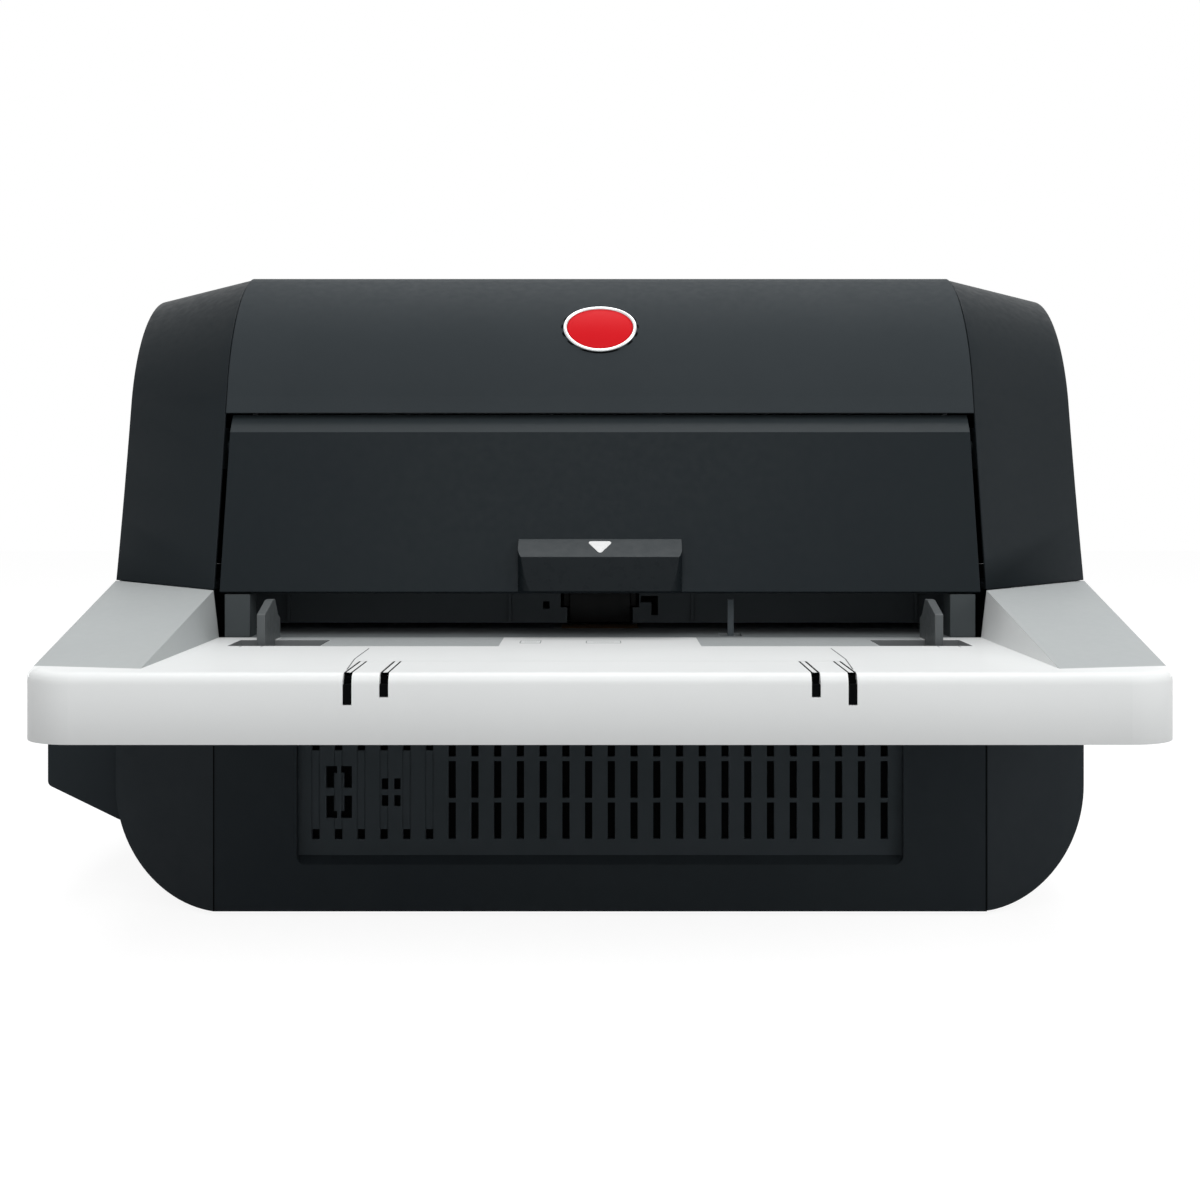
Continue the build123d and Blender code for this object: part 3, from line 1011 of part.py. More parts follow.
# ---- Assembly ------------------------------------------------------------------------------------------
def build_nodes():
    """Every node of the machine, by name."""
    cheek, turns, bore = hood_cheek(), gear_turns(), ROLLER_JOURNAL + GEAR_SEAT
    nodes = {
        "base_pan": base_pan(),
        "rubber_feet": rubber_feet(),
        "base_front_panel": base_front_panel(),
        "base_side_cover_right": base_side_cover(),
        "base_side_cover_left": base_side_cover_left(),
        "gearbox_cover": gearbox_cover(),
        "rear_cover": rear_cover(),
        "hood": hood(),
        "hood_cheek_right": cheek,
        "hood_cheek_left": mirror(cheek, about=Plane.YZ),
        "tray_bezel": tray_bezel(),
        "tray_underside": tray_underside(),
        "glide_plates": glide_plates(),
        "tray_extension_outer": tray_extension_outer(),
        "tray_extension_inner": tray_extension_inner(),
        "paper_guide_right": paper_guide(1),
        "paper_guide_left": mirror(paper_guide(-1), about=Plane.YZ),
        "guide_pinion": guide_pinion(),
        "throat_posts": throat_posts(),
        "feed_ledge": feed_ledge(),
        "feeder_front": feeder_front(),
        "sensor_lever": sensor_lever(),
        "cartridge_door": cartridge_door(),
        "door_grip": door_grip(),
        "badge_rim": badge_rim(),
        "badge_plate": badge_plate(),
        "side_frame_right": side_frame(),
        "side_frame_left": side_frame_left(),
        "pickup_arm": pickup_arm(),
        "pickup_roller": pickup_roller(),
        "separation_pad": separation_pad(),
        "path_plate": pad_carrier(path_plate()),
        "feed_roller_lower": roller(SMALL_ROLLER, FEED_LOW, left_reach=GEAR_REACH),
        "feed_roller_upper": roller(SMALL_ROLLER, FEED_HIGH),
        "heat_roller_lower": roller(HEAT_ROLLER, HEAT_LOW, HEATER_BORE, GEAR_REACH),
        "heat_roller_upper": roller(HEAT_ROLLER, HEAT_HIGH, HEATER_BORE, GEAR_REACH),
        "heater_rods": heater_rods(),
        "exit_roller_lower": roller(SMALL_ROLLER, EXIT_AXLE_LOW, left_reach=GEAR_REACH),
        "exit_roller_upper": roller(SMALL_ROLLER, EXIT_AXLE_HIGH),
        "feed_gear": spur(SMALL_TEETH, turns["feed"], FEED_LOW, bore),
        "heat_gear_lower": spur(HEAT_TEETH, 0.0, HEAT_LOW, bore),
        "heat_gear_upper": spur(HEAT_TEETH, turns["heat_high"], HEAT_HIGH, bore),
        "exit_gear": spur(SMALL_TEETH, turns["exit"], EXIT_AXLE_LOW, bore),
        "idler_gear_front": spur(IDLER_TEETH, turns["front"], IDLER_FRONT, IDLER_AXLE + FIT),
        "idler_gear_rear": spur(IDLER_TEETH, turns["rear"], IDLER_REAR, IDLER_AXLE + FIT),
        "motor_pinion": motor_pinion(turns["motor"]),
        "drive_motor": drive_motor(),
        "film_roll_upper": film_roll(UPPER_FILM, FILM_RADIUS, FRAME_INNER - 2 * GAP),
        "film_roll_lower": film_roll(LOWER_FILM, LOWER_FILM_RADIUS, FRAME_OUTER + 0.5),
        "cartridge_frame": cartridge_frame(),
        "control_board": control_board(),
        "power_supply": power_supply(),
        "fan_frame": fan_frame(),
        "fan_rotor": fan_rotor(),
        "power_inlet": power_inlet(),
        "power_switch": power_switch(),
        "control_panel": control_panel(),
    }
    nodes |= {f"button_{name}": panel_button(x) for name, x in BUTTON_PLACES.items()}
    return nodes


def export_nodes():
    """Write one STEP file per node, moved to the part's own origin."""
    os.makedirs("parts", exist_ok=True)
    for name, shape in build_nodes().items():
        solids = [solid.moved(ROW_SHIFT) for solid in shape.solids()]
        export_step(solids[0] if len(solids) == 1 else Compound(solids), f"parts/{name}.step")


export_nodes()
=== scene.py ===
"""Looks of a sheet-fed desktop laminator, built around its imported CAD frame.

Every length is in metres in the frame's own axes: +X to the machine's right, +Y to its back, +Z up. Sizes
that belong to one piece are written in millimetres as fields of its class and turned to metres by MM.
"""

import json
import logging
import math
from collections.abc import Callable, Iterable
from dataclasses import dataclass, replace
from enum import Enum

import bmesh
import bpy
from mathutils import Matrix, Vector

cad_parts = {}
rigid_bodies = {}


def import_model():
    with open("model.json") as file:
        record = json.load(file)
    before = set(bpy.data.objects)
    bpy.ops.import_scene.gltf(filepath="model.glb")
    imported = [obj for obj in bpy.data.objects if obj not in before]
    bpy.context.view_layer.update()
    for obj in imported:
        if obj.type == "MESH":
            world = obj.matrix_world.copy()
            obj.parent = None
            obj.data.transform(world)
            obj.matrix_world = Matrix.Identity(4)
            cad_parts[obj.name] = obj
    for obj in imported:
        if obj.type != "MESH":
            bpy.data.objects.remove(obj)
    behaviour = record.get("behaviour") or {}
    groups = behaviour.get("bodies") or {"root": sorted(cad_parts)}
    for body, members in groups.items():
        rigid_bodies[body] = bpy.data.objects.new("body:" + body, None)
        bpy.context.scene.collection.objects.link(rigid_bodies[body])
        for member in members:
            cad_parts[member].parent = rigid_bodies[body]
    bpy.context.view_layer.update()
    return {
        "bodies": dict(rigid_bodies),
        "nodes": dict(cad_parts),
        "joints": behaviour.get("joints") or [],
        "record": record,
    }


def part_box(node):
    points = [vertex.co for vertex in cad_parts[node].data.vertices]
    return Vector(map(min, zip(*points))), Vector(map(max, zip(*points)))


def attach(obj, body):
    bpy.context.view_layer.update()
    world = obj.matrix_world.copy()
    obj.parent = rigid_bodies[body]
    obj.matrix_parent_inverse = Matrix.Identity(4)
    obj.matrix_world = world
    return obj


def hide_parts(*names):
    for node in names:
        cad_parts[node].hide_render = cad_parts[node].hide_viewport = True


LOG = logging.getLogger("laminator")
MM = 0.001
ACROSS, BACK, UP = Vector((1, 0, 0)), Vector((0, 1, 0)), Vector((0, 0, 1))
# The Mix node's colour sockets share their names, so they go by number.
MIX_FIRST, MIX_SECOND, MIX_RESULT = 6, 7, 2
# Where a noise's values mostly lie.
NOISE_LOW, NOISE_HIGH = 0.3, 0.7
EDGE_SAMPLES = 4
COAT_ROUGHNESS = 0.08
ARC_STEPS = 6
Section = list[tuple[float, float]]
Tree = bpy.types.NodeTree
Socket = bpy.types.NodeSocket


class Weave(Enum):
    """How a surface was made, which decides the relief drawn on it."""

    SPARK_ERODED = "spark eroded mould texture"
    POLISHED = "polished mould"
    TURNED = "turned or drawn around an axis"
    ROLLED = "rolled sheet"


class Side(Enum):
    """Side of the machine, as the sign of x from its centre plane."""

    LEFT = -1
    RIGHT = 1


# Stretch of a worked surface's relief along its lay.
LAY = {Weave.ROLLED: (0.04, 1.0, 1.0), Weave.TURNED: (1.0, 0.06, 0.06)}


# ---- Node and colour helpers -------------------------------------


def linear(colour: str, alpha: float = 1.0) -> tuple[float, float, float, float]:
    """Turn an sRGB hex colour to the linear values that a shader takes.

    Args:
        colour: six hex digits, with or without a hash sign.
        alpha: fourth value of the result.

    Returns:
        Linear red, green and blue, and alpha.
    """
    digits = colour.lstrip("#")
    parts = [int(digits[i : i + 2], 16) / 255 for i in (0, 2, 4)]
    made = [c / 12.92 if c <= 0.04045 else ((c + 0.055) / 1.055) ** 2.4 for c in parts]
    return (made[0], made[1], made[2], alpha)


def add_node(
    tree: Tree, kind: str, settings: dict | None = None, links: dict | None = None
) -> bpy.types.Node:
    """Add a shader node with its settings and incoming links.

    Args:
        tree: the material's or world's node tree.
        kind: the node's type name.
        settings: values by input name or number, or by the node's attribute name.
        links: the output socket that feeds each input, by its name or number.

    Returns:
        The new node.
    """
    node = tree.nodes.new(kind)
    for name, value in (settings or {}).items():
        if isinstance(name, int) or name in node.inputs:
            node.inputs[name].default_value = value
        else:
            setattr(node, name, value)
    for name, socket in (links or {}).items():
        tree.links.new(socket, node.inputs[name])
    return node


def mixed(tree: Tree, factor: Socket, first: Socket, second: str) -> Socket:
    """Return the mix of a colour socket with a plain sRGB hex colour, whose share is the factor."""
    settings = {"data_type": "RGBA", MIX_SECOND: linear(second)}
    return add_node(tree, "ShaderNodeMix", settings, {0: factor, MIX_FIRST: first}).outputs[MIX_RESULT]


def spread(tree: Tree, value: Socket, low: float, high: float) -> Socket:
    """Return a noise's value with its usual range mapped to the range from low to high."""
    settings = {"From Min": NOISE_LOW, "From Max": NOISE_HIGH, "To Min": low, "To Max": high}
    return add_node(tree, "ShaderNodeMapRange", settings, {"Value": value}).outputs["Result"]


# ---- Finishes ----------------------------------------------------


@dataclass(frozen=True)
class Finish:
    """A finish shared by several pieces: two close tones, a relief from the way it was made, and its gloss.

    Args:
        name: the real material's name, which the Blender material takes.
        tone: main sRGB colour.
        second: the tone that the main one drifts to over large patches.
        weave: how the surface was made.
        roughness: middle roughness.
        grain_mm: real width of one grain of the relief.
        depth_mm: height of the relief.
        ior: index of refraction.
        specular: strength of the surface reflection, 0.5 being the plain one.
        metallic: 1 for bare metal.
        coat: share of a clear coat over it.
        edge_mm: radius at which the edges are rounded in the shading and catch the light; the painted edge
            highlight spreads a little wider.
        edge_highlight_tone: colour of the painted highlight on those edges.
        patch_mm: size of the patches in which the two tones drift.
        gloss_drift: how far the roughness drifts to each side.
        crown: lowest and highest z of an upright face whose normals tilt in towards its foot as if it curled,
            and how far, in metres.
    """

    name: str
    tone: str
    second: str
    weave: Weave
    roughness: float
    grain_mm: float = 0.6
    depth_mm: float = 0.02
    ior: float = 1.5
    specular: float = 0.5
    metallic: float = 0.0
    coat: float = 0.0
    edge_mm: float = 0.0
    edge_highlight_tone: str = ""
    patch_mm: float = 90.0
    gloss_drift: float = 0.05
    crown: tuple[float, float, float] = (0.0, 0.0, 0.0)

    def place(self, tree: Tree) -> Socket:
        """Give the surface's place in metres, drawn out along the lay of a worked surface.

        Args:
            tree: the material's node tree.

        Returns:
            The place's socket.
        """
        place = add_node(tree, "ShaderNodeTexCoord").outputs["Object"]
        if self.weave in LAY:
            lay = {"Scale": LAY[self.weave]}
            place = add_node(tree, "ShaderNodeMapping", lay, {"Vector": place}).outputs["Vector"]
        return place

    def relief(self, tree: Tree, place: Socket) -> Socket:
        """Draw the surface's relief over its softened edges.

        Args:
            tree: the material's node tree.
            place: the surface's place.

        Returns:
            The normal's socket.
        """
        grain = {"Scale": 1 / (self.grain_mm * MM), "Detail": 3.0, "Roughness": 0.55}
        noise = add_node(tree, "ShaderNodeTexNoise", grain, {"Vector": place})
        links = {"Height": noise.outputs["Fac"]}
        if self.edge_mm:
            edge = add_node(tree, "ShaderNodeBevel", {"samples": EDGE_SAMPLES, "Radius": self.edge_mm * MM})
            links["Normal"] = edge.outputs["Normal"]
        if any(self.crown):
            links["Normal"] = self.curl(tree, place)
        settings = {"Strength": 1.0, "Distance": self.depth_mm * MM}
        return add_node(tree, "ShaderNodeBump", settings, links).outputs["Normal"]

    def curl(self, tree: Tree, place: Socket) -> Socket:
        """Tilt an upright face's normals in towards its foot, so that it shades as if it curled.

        Args:
            tree: the material's node tree.
            place: the surface's place.

        Returns:
            The normal's socket.
        """
        foot, head, depth = self.crown
        rise = add_node(tree, "ShaderNodeSeparateXYZ", None, {0: place}).outputs["Z"]
        span = {"From Min": head, "From Max": foot, "To Min": 0.0, "To Max": 1.0}
        drop = add_node(tree, "ShaderNodeMapRange", span, {"Value": rise}).outputs["Result"]
        curve = add_node(tree, "ShaderNodeMath", {"operation": "POWER", 1: 2.0}, {0: drop}).outputs["Value"]
        settings = {"invert": True, "Strength": 1.0, "Distance": depth}
        return add_node(tree, "ShaderNodeBump", settings, {"Height": curve}).outputs["Normal"]

    def colour(self, tree: Tree, place: Socket) -> Socket:
        """Let two tones drift into each other, with a painted highlight on the edges where the finish has
        one.

        Args:
            tree: the material's node tree.
            place: the surface's place.

        Returns:
            The colour's socket.
        """
        patch = {"Scale": 1 / (self.patch_mm * MM), "Detail": 4.0}
        drift = add_node(tree, "ShaderNodeTexNoise", patch, {"Vector": place})
        share = spread(tree, drift.outputs["Fac"], 0.0, 1.0)
        ends = {"data_type": "RGBA", MIX_FIRST: linear(self.tone), MIX_SECOND: linear(self.second)}
        tone = add_node(tree, "ShaderNodeMix", ends, {0: share}).outputs[MIX_RESULT]
        if not self.edge_highlight_tone:
            return tone
        # Paler edges: painted highlight where the rounded edges catch the light.
        wide = {"samples": EDGE_SAMPLES, "Radius": self.edge_mm * 1.6 * MM}
        edge = add_node(tree, "ShaderNodeBevel", wide)
        flat = add_node(tree, "ShaderNodeNewGeometry")
        both = {0: edge.outputs["Normal"], 1: flat.outputs["Normal"]}
        turn = add_node(tree, "ShaderNodeVectorMath", {"operation": "DOT_PRODUCT"}, both)
        highlight_span = {"From Min": 0.995, "From Max": 0.9, "To Min": 0.0, "To Max": 0.55}
        painted_edge_highlight = add_node(tree, "ShaderNodeMapRange", highlight_span, {"Value": turn.outputs["Value"]})
        return mixed(tree, painted_edge_highlight.outputs["Result"], tone, self.edge_highlight_tone)

    def material(self) -> bpy.types.Material:
        """Return the Blender material of this finish, made on first use."""
        found = bpy.data.materials.get(self.name)
        if found:
            return found
        made = bpy.data.materials.new(self.name)
        made.use_nodes = True
        made.diffuse_color = linear(self.tone)
        tree = made.node_tree
        tree.nodes.clear()
        place = self.place(tree)
        fine = {"Scale": 1 / (self.grain_mm * 7 * MM), "Detail": 2.0}
        smear = add_node(tree, "ShaderNodeTexNoise", fine, {"Vector": place})
        low, high = self.roughness - self.gloss_drift, self.roughness + self.gloss_drift
        links = {
            "Base Color": self.colour(tree, place),
            "Roughness": spread(tree, smear.outputs["Fac"], low, high),
            "Normal": self.relief(tree, place),
        }
        settings = {
            "IOR": self.ior,
            "Specular IOR Level": self.specular,
            "Metallic": self.metallic,
            "Coat Weight": self.coat,
            "Coat Roughness": COAT_ROUGHNESS,
        }
        shader = add_node(tree, "ShaderNodeBsdfPrincipled", settings, links)
        add_node(tree, "ShaderNodeOutputMaterial", None, {"Surface": shader.outputs["BSDF"]})
        return made


# Satin black ABS, moulded in a finely spark-eroded tool: deep charcoal, lifted as painted sheen from above.
HOOD_ABS_PAINTED_SHEEN = Finish("satin_black_abs_hood", "#2f3437", "#32373a", Weave.SPARK_ERODED, 0.55, 0.5, 0.012,
                  specular=0.04, edge_mm=0.7)
# The cheeks come from a second tool; their tone, a shade deeper than the hood's, is painted shade on their
# outward lean.
CHEEK_ABS_PAINTED_SHADE = Finish("satin_black_abs_cheek", "#1c2124", "#1f2427", Weave.SPARK_ERODED, 0.46, 0.5, 0.012,
                   specular=0.07, edge_mm=0.7)
# The door is from a smoother tool; its tone, darker and a shade bluer than the hood's, is painted shade on
# its upright face.
DOOR_ABS_PAINTED_SHADE = Finish("satin_black_abs_door", "#161c20", "#191f22", Weave.SPARK_ERODED, 0.42, 0.45, 0.01,
                  specular=0.07, edge_mm=0.5)
# Its bevels are polished by hands and cloths, and catch the lamps above; their paler tone is painted
# highlight.
BEVEL_ABS_PAINTED_HIGHLIGHT = Finish("rubbed_black_abs_bevel", "#292f32", "#2c3235", Weave.POLISHED, 0.34, 0.45, 0.006,
                   specular=0.15, edge_mm=0.4)
# The grip has a smoother skin, so its rounded ends draw long soft highlights.
GRIP_ABS = Finish("smooth_black_abs_grip", "#12171a", "#14191c", Weave.POLISHED, 0.3, 0.45, 0.004,
                  specular=0.08, edge_mm=0.4)
# The base has a coarser texture that swallows most reflections.
BASE_ABS = Finish("textured_black_abs_base", "#21262a", "#24292c", Weave.SPARK_ERODED, 0.55, 0.7, 0.02,
                  specular=0.06, edge_mm=0.4)
# The front faces of the sunk vent field take a tone a shade lighter than the rest of the base.
VENT_ABS = Finish("dusty_black_abs_vent", "#31373a", "#363b3f", Weave.SPARK_ERODED, 0.6, 0.7, 0.02,
                  specular=0.06, patch_mm=40.0)
# Throat parts: plain unpolished black ABS, dull all over, given a lighter grey as painted light in the shaded
# throat.
THROAT_ABS_PAINTED_LIGHT = Finish("plain_black_abs_throat", "#454b4f", "#4a5054", Weave.SPARK_ERODED, 0.5, 0.6, 0.012,
                    specular=0.1, edge_mm=0.4)
# The ledge and the posts are from grey-black ABS; their paler tone is painted light where light reaches into
# the throat.
LEDGE_ABS_PAINTED_LIGHT = Finish("grey_black_abs_ledge", "#7b8082", "#818688", Weave.SPARK_ERODED, 0.5, 0.6, 0.012,
                   specular=0.1, edge_mm=0.3)
POST_ABS_PAINTED_LIGHT = Finish("grey_black_abs_post", "#43484a", "#484d4f", Weave.SPARK_ERODED, 0.5, 0.6, 0.012,
                  specular=0.1, edge_mm=0.3)
# Steel of the pick-up arm, near black as painted shade of the dark throat, with a dull metal edge.
STEEL_ARM_PAINTED_SHADE = Finish("blackened_steel_arm", "#17191a", "#1c1e1f", Weave.ROLLED, 0.5, 0.5, 0.004,
                       specular=0.2, edge_mm=0.2)
# Open-cell foam of the air filter, dead black behind the vents; there and in seams, slots and round the badge
# it is painted shade.
FOAM_AND_PAINTED_SHADE = Finish("open_cell_foam_filter", "#08090a", "#0b0c0d", Weave.SPARK_ERODED, 0.9, 0.9, 0.1,
                     specular=0.02)
# Pale grey ABS from a stoned tool: clean and bright, with hardly any gloss.
TRAY_ABS = Finish("pale_grey_abs_tray", "#dfe1e1", "#e2e4e4", Weave.POLISHED, 0.5, 0.8, 0.003,
                  specular=0.14, coat=0.12, gloss_drift=0.03)
# The wings' tops are spark-eroded and a shade darker than the tray around them; on the left wing's inner wall
# that tone is painted shade.
WING_ABS_AND_PAINTED_SHADE = Finish("textured_pale_abs_wing", "#a4a8a9", "#a9adad", Weave.SPARK_ERODED, 0.6, 0.5, 0.012,
                  specular=0.08, edge_mm=0.5)
# The sunk tracks of the paper guides have the same texture, in a darker grey than the tray.
TRACK_ABS = Finish("textured_grey_abs_track", "#6e7172", "#747778", Weave.SPARK_ERODED, 0.6, 0.5, 0.012,
                   specular=0.1)
# Low-friction acetal strips: waxy mid grey.
GLIDE_POM = Finish("waxy_grey_acetal_glide", "#a2a6a7", "#9ea2a3", Weave.POLISHED, 0.45, 0.6, 0.006,
                   ior=1.48, specular=0.2, edge_mm=0.3)
# Paper guides: dark grey ABS with a painted highlight along their edges.
GUIDE_ABS = Finish("dark_grey_abs_guide", "#525657", "#4d5153", Weave.SPARK_ERODED, 0.42, 0.4, 0.008,
                   specular=0.3, edge_mm=0.35, edge_highlight_tone="#6a6b6c")
# White acetal gears: milky, slightly yellow, faintly glossy.
GEAR_POM = Finish("white_acetal_gear", "#e6e2d4", "#dedacb", Weave.POLISHED, 0.35, 0.5, 0.006, ior=1.48,
                  edge_mm=0.15)
# Zinc-plated sheet: cool grey metal with the rolling's fine lines.
ZINC_SHEET = Finish("zinc_plated_sheet_steel", "#a9adb0", "#9ca1a6", Weave.ROLLED, 0.38, 0.5, 0.004,
                    metallic=1.0, edge_mm=0.2)
# Drawn steel shaft: brighter, with rings around the axis.
TURNED_STEEL = Finish("turned_steel_shaft", "#c3c5c6", "#b4b7b9", Weave.TURNED, 0.26, 0.4, 0.003,
                       metallic=1.0)
# Ground EPDM rubber on the transport rollers: dead matt charcoal.
GROUND_RUBBER = Finish("ground_epdm_rubber_roller", "#232425", "#2a2b2c", Weave.TURNED, 0.78, 0.5, 0.02,
                       ior=1.52, specular=0.3)
# Silicone sleeve of the heat rollers: brick red, soft gloss.
SILICONE = Finish("red_silicone_sleeve", "#8c2f22", "#7d281d", Weave.TURNED, 0.48, 0.7, 0.01, ior=1.41)
# Moulded rubber feet: matt black with a skin of fine grain.
FOOT_RUBBER = Finish("moulded_rubber_foot", "#1d1d1e", "#232324", Weave.SPARK_ERODED, 0.82, 0.6, 0.03,
                     ior=1.52, specular=0.3)
# Smoked acrylic over the display: darker and bluer than the panel around it.
DISPLAY_GLASS = Finish("smoked_acrylic_window", "#1a242b", "#1e2930", Weave.POLISHED, 0.08, 0.9, 0.0005,
                       ior=1.49, specular=0.18, gloss_drift=0.02)
# Wound polyester film: pale, glassy layers that show as fine lines round the roll.
WOUND_FILM = Finish("wound_polyester_film", "#d5dade", "#c4cbd1", Weave.TURNED, 0.16, 0.9, 0.02, ior=1.58,
                    coat=0.6)
# Solder mask over glass-fibre board: deep green with a hard gloss.
SOLDER_MASK = Finish("green_solder_mask_board", "#12552a", "#0f4a25", Weave.POLISHED, 0.28, 0.5, 0.01,
                      coat=0.3)
# Gloss black PMMA-capped panel: near black from above, and close to a mirror from a low angle.
PANEL_GLOSS = Finish("gloss_black_acrylic_panel", "#121416", "#15171a", Weave.POLISHED, 0.24, 0.9, 0.001,
                     ior=1.49, specular=0.1, edge_mm=0.3, gloss_drift=0.03)
# Button caps: satin grey ABS.
BUTTON_ABS = Finish("satin_grey_abs_button", "#85888b", "#808386", Weave.SPARK_ERODED, 0.4, 0.35, 0.008,
                    edge_mm=0.35)
# Pressed cork and rubber pad: speckled tan.
CORK_PAD = Finish("pressed_cork_pad", "#8a6a45", "#5f4429", Weave.SPARK_ERODED, 0.85, 0.9, 0.05,
                  specular=0.2, patch_mm=1.2)
# Enamelled badge: poured red enamel under a clear dome.
BADGE_ENAMEL = Finish("poured_red_enamel", "#cb0f1a", "#c30d18", Weave.POLISHED, 0.42, 1.5, 0.001,
                      specular=0.06, gloss_drift=0.03)
# Chrome-plated rim, bright and slightly soft from the plating over plastic.
BADGE_CHROME = Finish("satin_chrome_plate", "#d9dadb", "#cfd1d2", Weave.POLISHED, 0.22, 0.8, 0.002,
                       metallic=1.0)
# Pad-printed white ink: matt, a touch uneven.
WHITE_INK = Finish("pad_printed_white_ink", "#dedfdf", "#d6d7d7", Weave.POLISHED, 0.5, 0.3, 0.004)
# Pad-printed grey ink for the marks on the tray.
GREY_INK = Finish("pad_printed_grey_ink", "#8e9293", "#969a9b", Weave.POLISHED, 0.5, 0.3, 0.004)
# The scored line beside the slots: painted shadow of its groove.
SCORE_PAINTED_SHADOW = Finish("dusty_score_line", "#5c5f60", "#646768", Weave.POLISHED, 0.6, 0.3, 0.004, specular=0.1)
# Nickel-plated screw heads and contact blades.
NICKEL = Finish("nickel_plated_steel", "#b9b8b2", "#adaca6", Weave.POLISHED, 0.3, 0.3, 0.003, metallic=1.0)


# ---- Mesh helpers ------------------------------------------------


def new_piece(name: str, form: bmesh.types.BMesh, finish: Finish, smooth: bool = True) -> bpy.types.Object:
    """Turn a bmesh into a named object with a finish.

    Args:
        name: the piece's name.
        form: the finished bmesh, which is freed.
        finish: its finish.
        smooth: whether its faces shade smoothly.

    Returns:
        The new object, linked to the scene.
    """
    bmesh.ops.recalc_face_normals(form, faces=form.faces)
    for face in form.faces:
        face.smooth = smooth
    mesh = bpy.data.meshes.new(name)
    form.to_mesh(mesh)
    form.free()
    piece = bpy.data.objects.new(name, mesh)
    bpy.context.scene.collection.objects.link(piece)
    piece.data.materials.append(finish.material())
    LOG.info("built %s with %d faces", name, len(mesh.polygons))
    return piece


def soften(piece: bpy.types.Object, width_mm: float, segments: int = 2, angle_deg: float = 32.0) -> None:
    """Round a piece's edges in its geometry with modifiers; the mesh below stays as it is.

    Args:
        piece: the object to soften.
        width_mm: width of the rounding.
        segments: facets across it.
        angle_deg: edges sharper than this are rounded.
    """
    weld = piece.modifiers.new("weld", "WELD")
    weld.merge_threshold = 0.002 * MM
    merge = piece.modifiers.new("flatten", "DECIMATE")
    merge.decimate_type = "DISSOLVE"
    merge.angle_limit = math.radians(0.2)
    merge.delimit = {"NORMAL", "MATERIAL"}
    bevel = piece.modifiers.new("soft_edges", "BEVEL")
    bevel.width = width_mm * MM
    bevel.segments = segments
    bevel.limit_method = "ANGLE"
    bevel.angle_limit = math.radians(angle_deg)
    bevel.miter_outer = "MITER_ARC"
    bevel.harden_normals = True


def plate_on_plane(
    outline: Section, origin: Vector, across: Vector, along: Vector, thick: float
) -> bmesh.types.BMesh:
    """Make a thin plate whose outline lies in a plane.

    Args:
        outline: points as (across, along) distances.
        origin: the plane's origin.
        across: first direction of the plane.
        along: second direction of the plane.
        thick: how far it stands out along the plane's normal.

    Returns:
        A bmesh of the plate.
    """
    made = bmesh.new()
    lift = across.cross(along).normalized() * thick
    flat = [origin + across * a + along * b for a, b in outline]
    low = [made.verts.new(point) for point in flat]
    high = [made.verts.new(point + lift) for point in flat]
    made.faces.new(high)
    made.faces.new(list(reversed(low)))
    for i, _ in enumerate(low):
        j = (i + 1) % len(low)
        made.faces.new((low[i], low[j], high[j], high[i]))
    return made


def metres(lengths_mm: Iterable[float]) -> Iterable[float]:
    """Turn lengths in millimetres to metres."""
    return (length * MM for length in lengths_mm)


def rectangle(x0: float, y0: float, x1: float, y1: float) -> Section:
    """Return a rectangle's corners, counter-clockwise."""
    return [(x0, y0), (x1, y0), (x1, y1), (x0, y1)]


def block(low: Vector, high: Vector, edge: float = 0.0) -> bmesh.types.BMesh:
    """Make a block between two corners.

    Args:
        low: the lowest corner.
        high: the highest corner.
        edge: width of the rounding along every edge, 0 for none.

    Returns:
        A bmesh of the block.
    """
    side = rectangle(low.y, low.z, high.y, high.z)
    made = plate_on_plane(side, Vector((low.x, 0, 0)), BACK, UP, high.x - low.x)
    if edge:
        bmesh.ops.bevel(made, geom=made.edges[:], offset=edge, segments=2, affect="EDGES", profile=0.5)
    return made


def rounded(corners: Section, radius: float, steps: int = ARC_STEPS) -> Section:
    """Round the corners of a convex outline with arcs of the given radius.

    Args:
        corners: the outline's corners, counter-clockwise.
        radius: the arcs' radius.
        steps: points along each arc.

    Returns:
        The rounded outline's points.
    """
    points: Section = []
    count = len(corners)
    for i, here in enumerate(corners):
        corner = Vector(here)
        back = (Vector(corners[i - 1]) - corner).normalized()
        ahead = (Vector(corners[(i + 1) % count]) - corner).normalized()
        half = math.acos(max(-1.0, min(1.0, back.dot(ahead)))) / 2
        centre = corner + (back + ahead).normalized() * (radius / math.sin(half))
        start, end = corner + back * (radius / math.tan(half)), corner + ahead * (radius / math.tan(half))
        first = math.atan2(start.y - centre.y, start.x - centre.x)
        turn = math.atan2(end.y - centre.y, end.x - centre.x) - first
        turn = (turn + math.pi) % (2 * math.pi) - math.pi
        for k in range(steps + 1):
            angle = first + turn * k / steps
            points.append((centre.x + radius * math.cos(angle), centre.y + radius * math.sin(angle)))
    return points


def lathe(profile: Section, centre: Vector, axis: Vector, sides: int = 32) -> bmesh.types.BMesh:
    """Turn a profile about an axis.

    Args:
        profile: (radius, height) points from the axis outwards and back.
        centre: the point at height 0.
        axis: direction of the height.
        sides: facets around.

    Returns:
        A bmesh of the turned body.
    """
    made = bmesh.new()
    axis = axis.normalized()
    side = axis.orthogonal().normalized()
    other = axis.cross(side)
    rings = []
    for radius, height in profile:
        ring = []
        for k in range(sides):
            angle = 2 * math.pi * k / sides
            spoke = side * math.cos(angle) + other * math.sin(angle)
            ring.append(made.verts.new(centre + axis * height + spoke * radius))
        rings.append(ring)
    for low, high in zip(rings, rings[1:]):
        for k in range(sides):
            m = (k + 1) % sides
            made.faces.new((low[k], low[m], high[m], high[k]))
    made.faces.new(rings[0])
    made.faces.new(list(reversed(rings[-1])))
    return made


# ---- Sub-assemblies ----------------------------------------------


